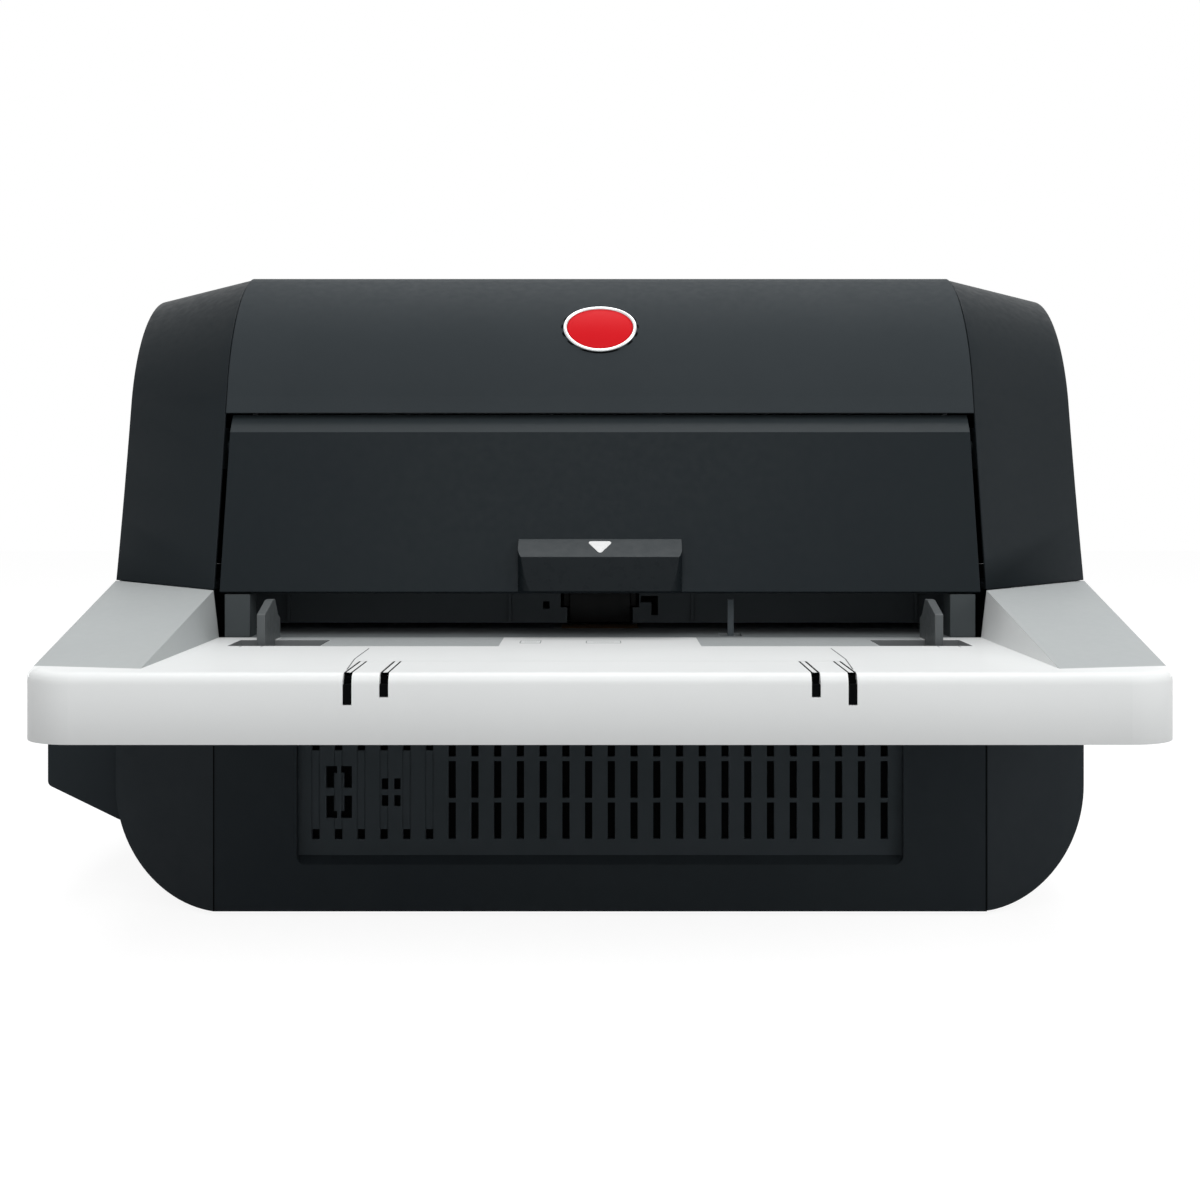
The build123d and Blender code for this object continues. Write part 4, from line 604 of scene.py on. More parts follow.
@dataclass
class SubAssembly:
    """A group of pieces that is dressed and detailed together.
    """

    frame: dict

    def dress(self, names: Iterable[str], finish: Finish, soft_mm: float = 0.0, segments: int = 2) -> None:
        """Give CAD nodes a finish and, where it helps, softened edges.

        Args:
            names: the nodes.
            finish: their finish.
            soft_mm: width of the edge rounding, 0 for none.
            segments: facets across the rounding.
        """
        for name in names:
            node = self.frame["nodes"][name]
            node.data.materials.clear()
            node.data.materials.append(finish.material())
            if soft_mm:
                soften(node, soft_mm, segments)
            LOG.info("dressed %s as %s", name, finish.name)

    def mark_faces(self, name: str, finish: Finish, chosen: Callable[[bpy.types.MeshPolygon], bool]) -> None:
        """Give some faces of a CAD node a finish of their own.

        Args:
            name: the node.
            finish: the chosen faces' finish.
            chosen: tells whether a face is one of them.
        """
        mesh = self.frame["nodes"][name].data
        mesh.materials.append(finish.material())
        index = len(mesh.materials) - 1
        for face in mesh.polygons:
            if chosen(face):
                face.material_index = index

    def centre_x(self) -> float:
        """Return x of the machine's centre plane, which is the middle of the hood's width."""
        low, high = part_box("hood")
        return (low.x + high.x) / 2


@dataclass
class Casing(SubAssembly):
    """Hood, cheeks, base and rear cover, with the rear cover's screws."""

    edge_mm: float = 0.8
    screw_mm: float = 3.2
    screw_inset_mm: float = 7.0
    filter_mm: tuple[float, float, float] = (20.0, 0.2, 1.0)
    strip_mm: tuple[float, float] = (0.6, 1.2)
    vent_sink_mm: float = 3.5
    bulge_slope_mm: float = 16.2
    bulge_round_mm: float = 3.0
    bulge_overlap_mm: float = 1.5
    screw_profile: tuple[tuple[float, float], ...] = (
        (1, -0.2), (1, 0.5), (0.92, 0.95), (0.7, 1.25), (0.36, 1.35), (0.3, 0.6), (0.05, 0.55),
    )

    def build(self) -> None:
        """Dress the casings and add the screws."""
        self.dress(("hood",), HOOD_ABS_PAINTED_SHEEN)
        self.dress(("hood_cheek_left", "hood_cheek_right"), CHEEK_ABS_PAINTED_SHADE, self.edge_mm, 3)
        self.dress(("base_side_cover_left", "base_side_cover_right", "gearbox_cover"), BASE_ABS, self.edge_mm)
        self.motor_bulge()
        self.dress(("base_front_panel",), BASE_ABS)
        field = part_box("base_front_panel")[0].y + self.vent_sink_mm * MM
        self.mark_faces(
            "base_front_panel", VENT_ABS, lambda face: face.normal.y < -0.9 and face.center.y > field
        )
        self.dress(("rear_cover",), BASE_ABS)
        self.dress(("base_pan",), ZINC_SHEET)
        self.dress(("rubber_feet",), FOOT_RUBBER, 0.6)
        self.screws()
        self.dust_filter()
        self.seam_shade_strips()

    def motor_bulge(self) -> None:
        """Build the cover that stands out over the drive motor, with its sloping foot and rounded corners."""
        low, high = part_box("gearbox_cover")
        inside = high.x + self.bulge_overlap_mm * MM
        square = [(inside, low.z), (inside, high.z)]
        corners = [*square, (low.x, high.z), (low.x, low.z + self.bulge_slope_mm * MM)]
        arcs = rounded(corners, self.bulge_round_mm * MM)[len(square) * (ARC_STEPS + 1) :]
        origin, deep = Vector((0, low.y, 0)), low.y - high.y
        shape = plate_on_plane([*square, *arcs], origin, ACROSS, UP, deep)
        piece = new_piece("gearbox_cover_moulded", shape, BASE_ABS)
        soften(piece, self.edge_mm, 3, 40.0)
        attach(piece, "casing")
        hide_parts("gearbox_cover")

    def dust_filter(self) -> None:
        """Lay a foam filter behind the front vents; its dead black is also painted shade inside them."""
        low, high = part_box("base_front_panel")
        inset, gap, thick = metres(self.filter_mm)
        first = Vector((low.x + inset, high.y + gap, low.z + inset))
        last = Vector((high.x - inset, high.y + gap + thick, high.z - gap))
        piece = new_piece("dust_filter", block(first, last, edge=gap), FOAM_AND_PAINTED_SHADE, smooth=False)
        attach(piece, "casing")

    def seam_shade_strips(self) -> None:
        """Lay a soft black strip in the seam between the base's front and each side cover, as painted shade
        in the gap.
        """
        low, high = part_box("base_front_panel")
        wide, deep = metres(self.strip_mm)
        for side, x in ((Side.LEFT, low.x), (Side.RIGHT, high.x)):
            near, far = sorted((x - side.value * wide / 3, x + side.value * wide * 2 / 3))
            strip = block(Vector((near, low.y - 0.02 * MM, low.z)), Vector((far, low.y + deep, high.z)))
            piece = new_piece(f"base_seam_{side.name.lower()}", strip, FOAM_AND_PAINTED_SHADE, smooth=False)
            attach(piece, "casing")

    def screws(self) -> None:
        """Add pan-head screws at the corners and middle of the rear cover."""
        low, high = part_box("rear_cover")
        inset = self.screw_inset_mm * MM
        columns = (low.x + inset, (low.x + high.x) / 2, high.x - inset)
        for row, z in enumerate((low.z + inset, high.z - inset)):
            for column, x in enumerate(columns):
                self.screw(f"rear_screw_{row}_{column}", Vector((x, high.y, z)), BACK)

    def screw(self, name: str, seat: Vector, axis: Vector) -> None:
        """Add one pan-head screw.

        Args:
            name: the piece's name.
            seat: middle of the face that its head bears on.
            axis: direction from that face to the head's top.
        """
        r = self.screw_mm * MM
        profile = [(r * share, height * MM) for share, height in self.screw_profile]
        piece = new_piece(name, lathe(profile, seat, axis, 28), NICKEL)
        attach(piece, "casing")


@dataclass
class FeedTray(SubAssembly):
    """Pale tray with its wings, pull-out stages, glide plates, paper guides and printed marks."""

    mark_mm: tuple[float, float] = (0.5, 4.0)
    mark_halves_mm: tuple[float, ...] = (139.7, 148.5)
    mark_gap_mm: float = 9.0
    icon_mm: tuple[tuple[float, float, float], ...] = ((-34, 9, 12), (-6, 15, 11))
    icon_gap_mm: float = 24.0
    icon_stroke_mm: float = 0.45
    ink_mm: float = 0.06
    slot_mm: float = 3.2
    edge_round_mm: float = 4.0
    slot_reach_mm: float = 41.0
    slot_clear_mm: float = 0.1
    sill_deep_mm: float = 3.0
    rail_set_mm: float = 0.5
    rib_edge_mm: float = 0.15
    rib_mm: tuple[float, float] = (1.7, 1.3)
    seam_mm: float = 0.3
    wing_rise_mm: float = 1.0
    track_mm: tuple[float, float] = (115.9, 155.5)
    track_depth_mm: float = 2.6
    glide_mm: tuple[float, float] = (42.0, 115.8)
    glide_ends_mm: tuple[float, float] = (2.2, 0.2)
    glide_top_mm: float = 0.05
    tail_mm: tuple[float, float] = (139.0, 12.2)
    curl_mm: float = 5.5
    score_mm: tuple[tuple[float, float], ...] = ((91.5, 13.0), (94.1, 49.0), (94.3, 90.4))
    score_wide_mm: float = 0.4

    def build(self) -> None:
        """Dress the tray, trim its slots and print its marks."""
        top = self.surface()
        self.dress(("tray_bezel",), TRAY_ABS)
        foot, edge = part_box("tray_bezel")[0].z, top - self.edge_round_mm * MM
        band = replace(TRAY_ABS, name="pale_grey_abs_band", crown=(foot, edge, self.curl_mm * MM))
        # Wing tops and, as painted shade, the left wing's inner wall take the darker wing finish.
        self.mark_faces("tray_bezel", WING_ABS_AND_PAINTED_SHADE, lambda face: self.on_wing_or_shaded_wall(face, top))
        self.mark_faces("tray_bezel", TRACK_ABS, lambda face: self.in_track(face, top))
        self.mark_faces("tray_bezel", band, lambda face: abs(face.normal.z) < 0.2 and face.center.z < edge)
        for name in ("tray_extension_outer", "tray_extension_inner"):
            self.dress((name,), TRAY_ABS)
            self.mark_faces(name, band, lambda face: face.normal.y < -0.9 and face.center.z < edge)
        self.dress(("tray_underside",), TRAY_ABS)
        self.dress(("glide_plates",), GLIDE_POM, 0.2)
        self.dress(("paper_guide_left", "paper_guide_right"), GUIDE_ABS, 0.6)
        self.dress(("guide_pinion",), GEAR_POM)
        self.stage_trim("extension_outer", "tray_extension_outer", "casing", band)
        self.stage_trim("extension_inner", "tray_extension_inner", "extension_outer", band)
        self.score_lines()
        self.glide_skins()
        self.size_marks()
        self.sheet_icons()

    def surface(self) -> float:
        """Return z of the tray's sheet surface, which is the top of the inner stage."""
        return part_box("tray_extension_inner")[1].z

    def on_wing_or_shaded_wall(self, face: bpy.types.MeshPolygon, top: float) -> bool:
        """Tell whether a face of the tray is a wing's top, or the left wing's inner wall, which takes the
        same tone as painted shade.
        """
        shaded_left_wall = face.center.x < self.centre_x() and face.normal.x > 0.5
        return face.center.z > top + self.wing_rise_mm * MM and (face.normal.z > 0.9 or shaded_left_wall)

    def in_track(self, face: bpy.types.MeshPolygon, top: float) -> bool:
        """Tell whether a face of the tray is part of a paper guide's sunk track.

        Args:
            face: the face.
            top: z of the sheet surface.

        Returns:
            True on the tracks' floors and walls.
        """
        inner, outer = metres(self.track_mm)
        front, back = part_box("glide_plates")[0].y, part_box("feed_ledge")[0].y
        across, sunk = abs(face.center.x - self.centre_x()), top - face.center.z
        inside = inner < across < outer and front < face.center.y < back
        return inside and 0.02 * MM < sunk < self.track_depth_mm * MM

    def score_lines(self) -> None:
        """Draw the thin line that runs back from each outer slot over the sheet surface, as painted shadow of
        a scored groove.
        """
        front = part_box("tray_bezel")[0].y
        half = self.score_wide_mm / 2 * MM
        for side in Side:
            line = [(side.value * x * MM, front + y * MM) for x, y in self.score_mm]
            for number, ((x0, y0), (x1, y1)) in enumerate(zip(line, line[1:])):
                corners = [(x0 - half, y0), (x0 + half, y0), (x1 + half, y1), (x1 - half, y1)]
                self.print_shape(f"tray_score_{side.name.lower()}_{number}", corners, half * 0.1, SCORE_PAINTED_SHADOW)

    def stage_trim(self, body: str, node: str, outside: str, band: Finish) -> None:
        """Fill the seams round one pull-out stage: its two slots, with dead-black blocks of painted shade,
        and the gap under its front.

        Args:
            body: the stage's body.
            node: its CAD node.
            outside: the body that the slots' rails belong to.
            band: finish of the front band.
        """
        low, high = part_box(node)
        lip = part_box("tray_extension_inner")[0].y + self.slot_reach_mm * MM
        slot, behind = self.slot_mm * MM, self.rail_set_mm * MM
        wide, deep = metres(self.rib_mm)
        clear = self.slot_clear_mm * MM
        round_foot, start = high.z - self.edge_round_mm * MM, low.y + self.edge_round_mm * MM
        for side in Side:
            edge = high.x if side is Side.RIGHT else low.x
            near, far = sorted((edge + side.value * clear, edge + side.value * (slot - clear)))
            # The slot and rail blocks are dead black: painted shade in the slots.
            for part, front, foot, head in (
                ("slot", low.y + behind, low.z, round_foot),
                ("rail", start, round_foot, high.z - clear),
            ):
                rail = block(Vector((near, front, foot)), Vector((far, lip, head)))
                name = f"{node}_{part}_{side.name.lower()}"
                piece = new_piece(name, rail, FOAM_AND_PAINTED_SHADE, smooth=False)
                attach(piece, outside)
            middle = edge + side.value * slot / 2
            first = Vector((middle - wide / 2, start, high.z - deep))
            rib = block(first, Vector((middle + wide / 2, lip, high.z)), self.rib_edge_mm * MM)
            piece = new_piece(f"{node}_rib_{side.name.lower()}", rib, TRAY_ABS, smooth=False)
            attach(piece, outside)
        seam = self.seam_mm * MM
        last = Vector((high.x, low.y + self.sill_deep_mm * MM, low.z))
        strip = block(Vector((low.x, low.y, low.z - seam)), last)
        piece = new_piece(f"{node}_sill", strip, band, smooth=False)
        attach(piece, body)

    def glide_skins(self) -> None:
        """Lay the waxy skin over each glide plate, just proud of the sheet surface, up to the ledge."""
        low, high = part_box("glide_plates")
        inner, outer = metres(self.glide_mm)
        inset, gap = metres(self.glide_ends_mm)
        front, back = low.y + inset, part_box("feed_ledge")[0].y - gap
        for side in Side:
            near, far = sorted((self.centre_x() + side.value * inner, self.centre_x() + side.value * outer))
            top = self.surface() + self.glide_top_mm * MM
            skin = block(Vector((near, front, high.z)), Vector((far, back, top)))
            piece = new_piece(f"glide_skin_{side.name.lower()}", skin, GLIDE_POM, smooth=False)
            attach(piece, "casing")
            reach = self.centre_x() + side.value * self.tail_mm[0] * MM
            near, far = sorted((self.centre_x() + side.value * outer, reach))
            first = Vector((near, back - self.tail_mm[1] * MM, self.surface()))
            tail = block(first, Vector((far, back, top)))
            piece = new_piece(f"glide_tail_{side.name.lower()}", tail, GLIDE_POM, smooth=False)
            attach(piece, "casing")

    def print_shape(self, name: str, corners: Section, radius: float, finish: Finish = GREY_INK) -> None:
        """Print one flat shape on the sheet surface.

        Args:
            name: the piece's name.
            corners: its corners in the tray's plane, from the machine's centre plane, counter-clockwise.
            radius: rounding of the corners.
            finish: the ink.
        """
        origin = Vector((self.centre_x(), 0, self.surface()))
        outline = rounded(corners, radius, 3)
        shape = plate_on_plane(outline, origin, ACROSS, BACK, self.ink_mm * MM)
        piece = new_piece(name, shape, finish, smooth=False)
        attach(piece, "casing")

    def size_marks(self) -> None:
        """Print a tick in front of each paper guide's place for the two sheet widths."""
        wide, tall = metres(self.mark_mm)
        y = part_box("paper_guide_right")[0].y - self.mark_gap_mm * MM
        for side in Side:
            for number, half in enumerate(self.mark_halves_mm):
                x = side.value * half * MM
                corners = rectangle(x - wide / 2, y, x + wide / 2, y + tall)
                self.print_shape(f"size_mark_{side.name.lower()}_{number}", corners, wide * 0.3)

    def sheet_icons(self) -> None:
        """Print two plain sheet outlines on the middle of the tray."""
        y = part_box("glide_plates")[1].y - self.icon_gap_mm * MM
        stroke = self.icon_stroke_mm * MM
        for number, icon in enumerate(self.icon_mm):
            x, wide, tall = metres(icon)
            bars = (
                (x, y, x + wide, y + stroke),
                (x, y + tall - stroke, x + wide, y + tall),
                (x, y + stroke, x + stroke, y + tall - stroke),
                (x + wide - stroke, y + stroke, x + wide, y + tall - stroke),
                (x + wide * 0.2, y + tall * 0.45, x + wide * 0.8, y + tall * 0.45 + stroke),
            )
            for bar, ends in enumerate(bars):
                self.print_shape(f"sheet_icon_{number}_{bar}", rectangle(*ends), stroke * 0.3)


@dataclass
class SheetThroat(SubAssembly):
    """Ledge, posts, feeder wall, sensor lever and pick-up parts seen between tray and door."""

    def build(self) -> None:
        """Dress the throat's parts."""
        self.dress(("feed_ledge",), LEDGE_ABS_PAINTED_LIGHT)
        self.dress(("throat_posts",), POST_ABS_PAINTED_LIGHT, 0.3)
        self.dress(("feeder_front",), THROAT_ABS_PAINTED_LIGHT)
        self.dress(("sensor_lever",), THROAT_ABS_PAINTED_LIGHT)
        self.dress(("pickup_arm",), STEEL_ARM_PAINTED_SHADE)
        self.dress(("pickup_roller",), GROUND_RUBBER)
        self.dress(("separation_pad",), CORK_PAD)
        self.dress(("path_plate",), ZINC_SHEET)


@dataclass
class CartridgeDoor(SubAssembly):
    """Front door, its grip and the white pointer printed on the grip's bevel."""

    pointer_mm: tuple[float, float] = (11.8, 8.6)
    pointer_round_mm: float = 1.1
    pointer_drop_mm: float = 1.9
    bevel_mm: tuple[float, float] = (3.2, 7.6)
    bevel_lean: float = 0.5
    ink_mm: float = 0.12

    def build(self) -> None:
        """Dress the door and print its pointer."""
        self.dress(("cartridge_door",), DOOR_ABS_PAINTED_SHADE)
        self.dress(("door_grip",), GRIP_ABS)
        # Faces that lean back take the bevel finish, whose paler tone is painted highlight.
        for name in ("cartridge_door", "door_grip"):
            self.mark_faces(name, BEVEL_ABS_PAINTED_HIGHLIGHT, self.on_lit_bevel)
        low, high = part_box("door_grip")
        top = Vector((self.centre_x(), high.y, high.z))
        foot = Vector((self.centre_x(), low.y + self.bevel_mm[0] * MM, high.z - self.bevel_mm[1] * MM))
        down = (foot - top).normalized()
        wide, tall = metres(self.pointer_mm)
        corners = [(-wide / 2, 0.0), (0.0, -tall), (wide / 2, 0.0)]
        outline = rounded(corners, self.pointer_round_mm * MM, 6)
        origin = top + down * self.pointer_drop_mm * MM
        shape = plate_on_plane(outline, origin, ACROSS, -down, self.ink_mm * MM)
        piece = new_piece("door_pointer", shape, WHITE_INK, smooth=False)
        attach(piece, "door")

    def on_lit_bevel(self, face: bpy.types.MeshPolygon) -> bool:
        """Tell whether a face at the front leans back enough to catch the light from above, and so takes the
        painted highlight.
        """
        return face.normal.y < -0.2 and face.normal.z > self.bevel_lean


@dataclass
class HoodBadge(SubAssembly):
    """Bare oval badge that follows the hood's front curve: an enamelled dome in a rounded chrome rim."""

    hood_radius_mm: float = 81.5
    angle_deg: float = 142.0
    wide_mm: float = 34.3
    long_mm: float = 28.2
    rim_mm: float = 1.7
    rim_height_mm: float = 1.125
    rim_seat_mm: float = 0.15
    plate_mm: float = 1.2
    seat_mm: float = 0.02
    groove_height_mm: float = 0.06
    dome_mm: tuple[float, float] = (0.45, 0.6)
    groove_share: float = 1.045
    sides: int = 128

    def axis(self) -> Vector:
        """Find the centre line of the hood's front curve from the CAD rim that lies on it.

        Returns:
            The line's point in the machine's centre plane.
        """
        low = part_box("badge_rim")[0]
        foot = math.radians(self.angle_deg) + self.long_mm / 2 / self.hood_radius_mm
        outer, inner = ((self.hood_radius_mm + height) * MM for height in (self.plate_mm, self.seat_mm))
        return Vector((self.centre_x(), low.y - outer * math.cos(foot), low.z - inner * math.sin(foot)))

    def on_hood(self, share: float, turn: float, height_mm: float) -> Vector:
        """Place a point over the hood's curve.

        Args:
            share: distance from the badge's middle, as a share of the way to its edge.
            turn: direction around the badge, in radians.
            height_mm: height above the hood.

        Returns:
            The point.
        """
        axis = self.axis()
        radius = (self.hood_radius_mm + height_mm) * MM
        across = self.wide_mm / 2 * MM * share * math.cos(turn)
        swing = self.long_mm / 2 / self.hood_radius_mm * share * math.sin(turn)
        angle = math.radians(self.angle_deg) - swing
        return axis + Vector((across, radius * math.cos(angle), radius * math.sin(angle)))

    def rings(self, profile: Section, closed: bool) -> bmesh.types.BMesh:
        """Make a surface from rings around the badge's middle.

        Args:
            profile: (share, height) of each ring, from one to the next.
            closed: whether the last ring joins the first, as round a rim; if not, both are filled.

        Returns:
            A bmesh of the surface.
        """
        made = bmesh.new()
        loops = []
        turns = [2 * math.pi * k / self.sides for k in range(self.sides)]
        for share, height in profile:
            loops.append([made.verts.new(self.on_hood(share, turn, height)) for turn in turns])
        pairs = zip(loops, [*loops[1:], loops[0]]) if closed else zip(loops, loops[1:])
        for first, second in pairs:
            for k in range(self.sides):
                m = (k + 1) % self.sides
                made.faces.new((first[k], first[m], second[m], second[k]))
        if not closed:
            made.faces.new(loops[0])
            made.faces.new(list(reversed(loops[-1])))
        return made

    def build(self) -> None:
        """Build the rim and the dome, which stand for the CAD plates."""
        inner = 1 - self.rim_mm / (self.long_mm / 2)
        middle, half = (1 + inner) / 2, (1 - inner) / 2
        arc = [math.pi * k / 10 for k in range(11)]
        seat, deep = self.rim_seat_mm, self.rim_height_mm
        ring = [(middle - half * math.cos(a), seat + deep * math.sin(a)) for a in arc]
        profile = [(inner, self.seat_mm), *ring, (1.0, self.seat_mm)]
        # The groove is a dead-black ring of painted shadow round the rim.
        near, far, lip = 1.0 - half, self.groove_share, self.groove_height_mm
        groove = [(near, 0.0), (near, lip), (far, lip), (far, 0.0)]
        piece = new_piece("badge_groove", self.rings(groove, closed=True), FOAM_AND_PAINTED_SHADE, smooth=False)
        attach(piece, "casing")
        rim = new_piece("badge_rim_polished", self.rings(profile, closed=True), BADGE_CHROME)
        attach(rim, "casing")
        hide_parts("badge_rim")
        shares = [0.02, 0.2, 0.4, 0.6, 0.75, 0.88, 0.96, 1.0]
        edge, bow = self.dome_mm
        dome = [(inner * s, edge + bow * (1 - s * s)) for s in shares] + [(inner, self.seat_mm)]
        face = new_piece("badge_dome", self.rings(dome, closed=False), BADGE_ENAMEL)
        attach(face, "casing")
        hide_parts("badge_plate")


@dataclass
class RollerDrive(SubAssembly):
    """Frames, rollers, gears, film rolls and electronics inside the casing."""

    inside: tuple[tuple[Finish, tuple[str, ...]], ...] = (
        (ZINC_SHEET, ("side_frame_left", "side_frame_right", "drive_motor", "power_supply")),
        (GROUND_RUBBER, ("feed_roller_lower", "feed_roller_upper", "exit_roller_lower", "exit_roller_upper")),
        (SILICONE, ("heat_roller_lower", "heat_roller_upper")),
        (TURNED_STEEL, ("heater_rods", "motor_pinion")),
        (GEAR_POM, ("feed_gear", "exit_gear", "heat_gear_lower", "heat_gear_upper")),
        (GEAR_POM, ("idler_gear_front", "idler_gear_rear")),
        (WOUND_FILM, ("film_roll_upper", "film_roll_lower")),
        (GUIDE_ABS, ("cartridge_frame",)),
        (SOLDER_MASK, ("control_board",)),
        (THROAT_ABS_PAINTED_LIGHT, ("fan_frame", "fan_rotor")),
    )

    def build(self) -> None:
        """Dress every inner part."""
        for finish, names in self.inside:
            self.dress(names, finish)


@dataclass
class ControlDeck(SubAssembly):
    """Control panel on the hood's top: gloss panel, buttons, display window and lamps."""

    lamp_mm: float = 0.9
    lamp_gap_mm: float = 3.2
    lamp_profile: tuple[tuple[float, float], ...] = ((1, -0.2), (1, 0.02), (0.7, 0.1), (0.1, 0.13))
    glass_x_mm: tuple[float, float] = (49.7, 8.3)
    glass_half_mm: float = 8.7
    glass_round_mm: float = 1.5
    glass_sunk_mm: float = 1.0
    glass_thick_mm: float = 0.8

    def build(self) -> None:
        """Dress the panel and its buttons, and add the window and the lamps."""
        self.dress(("control_panel",), PANEL_GLOSS)
        buttons = [name for name in self.frame["nodes"] if name.startswith("button_")]
        self.dress(buttons, BUTTON_ABS, 0.5, 3)
        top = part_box("hood")[1].z
        low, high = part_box("control_panel")
        for name in buttons:
            first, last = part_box(name)
            lamp = Vector(((first.x + last.x) / 2, last.y + self.lamp_gap_mm * MM, top - 0.02 * MM))
            r = self.lamp_mm * MM
            profile = [(r * share, height * MM) for share, height in self.lamp_profile]
            piece = new_piece(f"lamp_{name}", lathe(profile, lamp, UP, 24), WHITE_INK)
            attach(piece, "casing")
        middle = (low.y + high.y) / 2
        x0, x1 = (self.centre_x() - value * MM for value in self.glass_x_mm)
        half = self.glass_half_mm * MM
        origin = Vector((0, 0, top - self.glass_sunk_mm * MM))
        outline = rounded(rectangle(x0, middle - half, x1, middle + half), self.glass_round_mm * MM)
        shape = plate_on_plane(outline, origin, ACROSS, BACK, self.glass_thick_mm * MM)
        window = new_piece("display_window", shape, DISPLAY_GLASS, smooth=False)
        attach(window, "casing")


@dataclass
class RearServices(SubAssembly):
    """Mains inlet and rocker switch at the back."""

    socket_offset_mm: float = 9.0
    socket_half_mm: tuple[float, float] = (8.5, 6.0)
    blade_mm: tuple[float, float] = (17.0, 2.0)

    def build(self) -> None:
        """Dress the inlet and the rocker, with plated contact blades."""
        self.dress(("power_inlet",), PANEL_GLOSS)
        self.dress(("power_switch",), PANEL_GLOSS, 0.3)
        inlet = self.frame["nodes"]["power_inlet"]
        inlet.data.materials.append(NICKEL.material())
        low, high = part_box("power_inlet")
        socket = (low + high) / 2 - ACROSS * self.socket_offset_mm * MM
        half_x, half_z = metres(self.socket_half_mm)
        root, tip = (high.y - value * MM for value in self.blade_mm)
        for face in inlet.data.polygons:
            middle = face.center
            near = abs(middle.x - socket.x) < half_x and abs(middle.z - socket.z) < half_z
            if near and root < middle.y < tip:
                face.material_index = 1


# ---- Studio ------------------------------------------------------


@dataclass(frozen=True)
class Softbox:
    """One soft square lamp that looks at the machine's middle.

    Args:
        name: the lamp's name.
        place: where it hangs, in metres.
        size: length of its side, in metres.
        watts: its power.
    """

    name: str
    place: tuple[float, float, float]
    size: float
    watts: float

    def hang(self, target: Vector) -> None:
        """Make the lamp and turn it to its target.

        Args:
            target: the point that it looks at.
        """
        data = bpy.data.lights.new(self.name, "AREA")
        data.shape, data.size, data.energy = "SQUARE", self.size, self.watts
        lamp = bpy.data.objects.new(self.name, data)
        lamp.location = self.place
        lamp.rotation_euler = (target - lamp.location).to_track_quat("-Z", "Y").to_euler()
        bpy.context.scene.collection.objects.link(lamp)


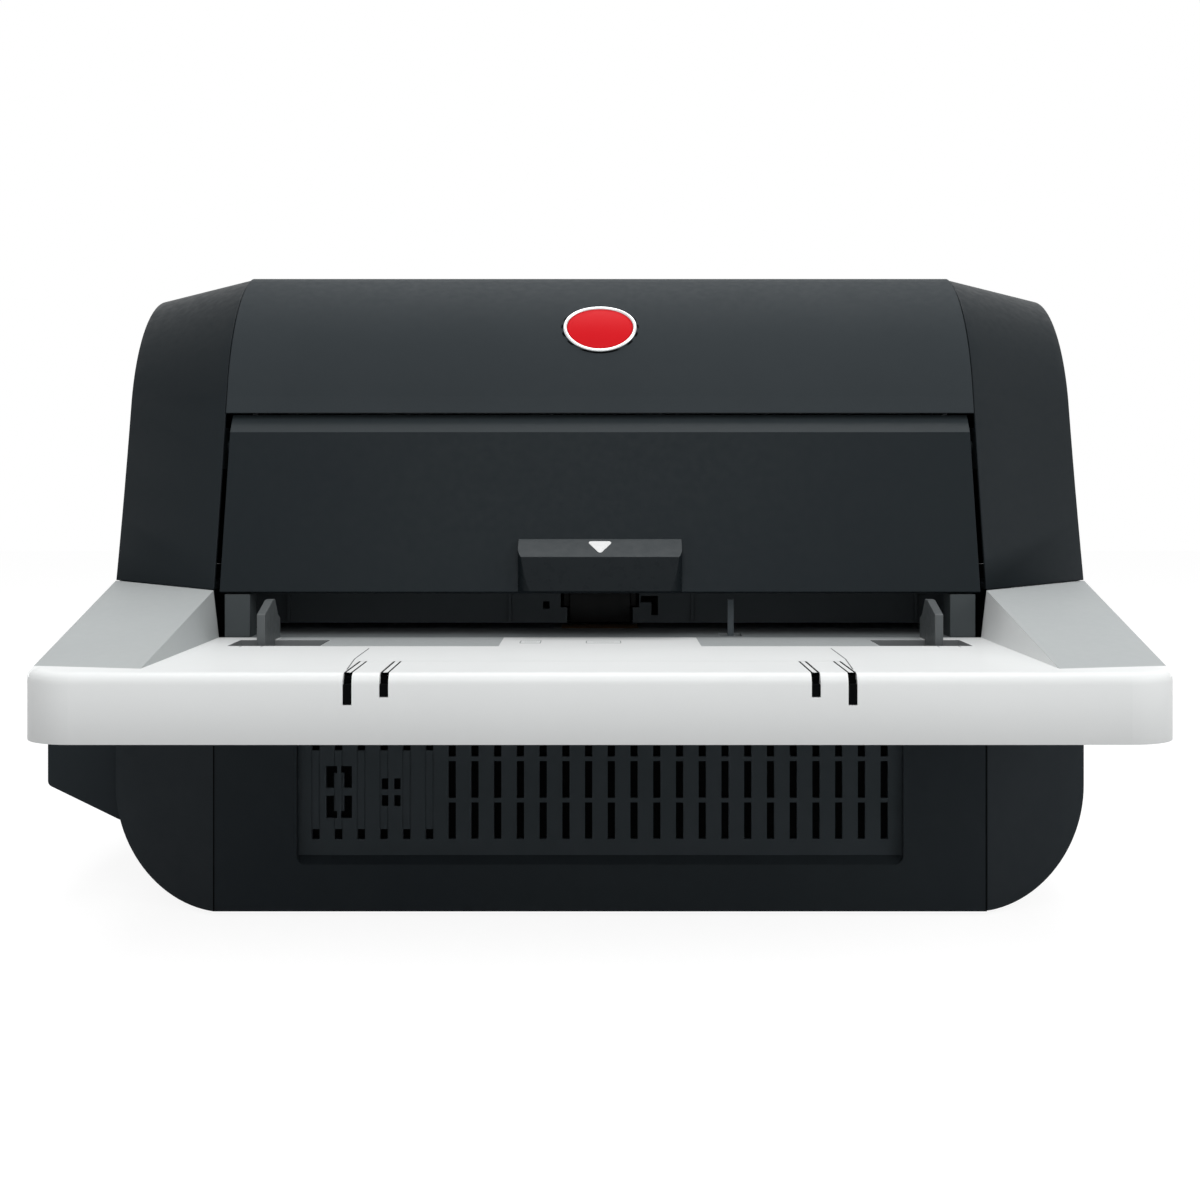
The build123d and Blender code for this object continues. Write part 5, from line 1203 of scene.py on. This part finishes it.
@dataclass
class Studio:
    """Pale floor, soft lamps and the camera at table height in front of the machine."""

    lens: float = 50.0
    film: float = 36.0
    camera_mm: tuple[float, float] = (590.0, 188.0)
    shift: float = -0.0958
    ambient: float = 0.42
    clip: tuple[float, float] = (0.05, 50.0)
    target: tuple[float, float, float] = (0.0, 0.0, 0.12)
    floor_reach: float = 4.0
    floor_drop_mm: float = 0.2
    floor_paper: float = 0.62
    floor_glow: float = 0.9
    floor_shade: float = 0.2
    lamps: tuple[Softbox, ...] = (
        Softbox("top_softbox", (0.1, 0.35, 1.6), 1.3, 15.0),
        Softbox("front_softbox", (0.0, -1.2, 1.3), 0.9, 10.5),
        Softbox("right_softbox", (1.5, -0.9, 0.9), 1.2, 9.0),
    )

    def camera(self) -> None:
        """Place the level camera in front of the tray, on the machine's centre plane."""
        data = bpy.data.cameras.new("front_camera")
        data.lens, data.sensor_width, data.shift_y = self.lens, self.film, self.shift
        data.clip_start, data.clip_end = self.clip
        camera = bpy.data.objects.new("front_camera", data)
        low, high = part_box("hood")
        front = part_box("tray_bezel")[0].y
        camera.location = ((low.x + high.x) / 2, front - self.camera_mm[0] * MM, self.camera_mm[1] * MM)
        camera.rotation_euler = (math.radians(90), 0, 0)
        bpy.context.scene.collection.objects.link(camera)
        bpy.context.scene.camera = camera

    def seen_plainly(self, tree: Tree) -> Socket:
        """Tell the rays that see the background from those that carry its light.

        Args:
            tree: the node tree of the floor or the world.

        Returns:
            A socket that is 1 for camera, glossy and transmission rays.
        """
        path = add_node(tree, "ShaderNodeLightPath")
        seen = path.outputs["Is Camera Ray"]
        for kind in ("Is Glossy Ray", "Is Transmission Ray"):
            either = {0: seen, 1: path.outputs[kind]}
            seen = add_node(tree, "ShaderNodeMath", {"operation": "MAXIMUM"}, either).outputs["Value"]
        return seen

    def world(self) -> None:
        """White surroundings that light the machine at a plain level."""
        world = bpy.data.worlds.new("studio")
        bpy.context.scene.world = world
        world.use_nodes = True
        tree = world.node_tree
        tree.nodes.clear()
        level = {"To Min": self.ambient, "To Max": 1.0}
        strength = add_node(tree, "ShaderNodeMapRange", level, {"Value": self.seen_plainly(tree)})
        links = {"Strength": strength.outputs["Result"]}
        sky = add_node(tree, "ShaderNodeBackground", {"Color": (1, 1, 1, 1)}, links)
        add_node(tree, "ShaderNodeOutputWorld", None, {"Surface": sky.outputs["Background"]})

    def sweep_material(self) -> bpy.types.Material:
        """Make the floor's paper: pale in the light it gives back, white with a faint shadow when seen.

        Returns:
            The material.
        """
        material = bpy.data.materials.new("white_paper_sweep")
        material.use_nodes = True
        tree = material.node_tree
        tree.nodes.clear()
        plain = add_node(tree, "ShaderNodeBsdfDiffuse", {"Color": (*[self.floor_paper] * 3, 1)})
        shaded = add_node(tree, "ShaderNodeBsdfDiffuse", {"Color": (*[self.floor_shade] * 3, 1)})
        glow = add_node(tree, "ShaderNodeEmission", {"Color": (1, 1, 1, 1), "Strength": self.floor_glow})
        both = {0: shaded.outputs["BSDF"], 1: glow.outputs["Emission"]}
        seen = add_node(tree, "ShaderNodeAddShader", None, both)
        links = {0: self.seen_plainly(tree), 1: plain.outputs["BSDF"], 2: seen.outputs["Shader"]}
        pick = add_node(tree, "ShaderNodeMixShader", None, links)
        add_node(tree, "ShaderNodeOutputMaterial", None, {"Surface": pick.outputs["Shader"]})
        return material

    def floor(self) -> None:
        """Lay the pale floor under the machine."""
        made = bmesh.new()
        reach = self.floor_reach
        drop = self.floor_drop_mm * MM
        made.faces.new([made.verts.new((x, y, -drop)) for x, y in rectangle(-reach, -reach, reach, reach)])
        mesh = bpy.data.meshes.new("floor")
        made.to_mesh(mesh)
        made.free()
        mesh.materials.append(self.sweep_material())
        floor = bpy.data.objects.new("floor", mesh)
        bpy.context.scene.collection.objects.link(floor)

    def build(self) -> None:
        """Set up the whole studio."""
        bpy.context.scene.view_settings.view_transform = "Standard"
        self.camera()
        self.world()
        self.floor()
        for softbox in self.lamps:
            softbox.hang(Vector(self.target))


def main() -> None:
    """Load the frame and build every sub-assembly."""
    logging.basicConfig(level=logging.INFO, format="%(name)s: %(message)s")
    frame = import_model()
    Studio().build()
    parts: list[Callable[[dict], SubAssembly]] = [
        Casing, FeedTray, SheetThroat, CartridgeDoor, HoodBadge, RollerDrive, ControlDeck, RearServices,
    ]
    for part in parts:
        part(frame).build()
        LOG.info("finished %s", part.__name__)


if __name__ == "__main__":
    main()
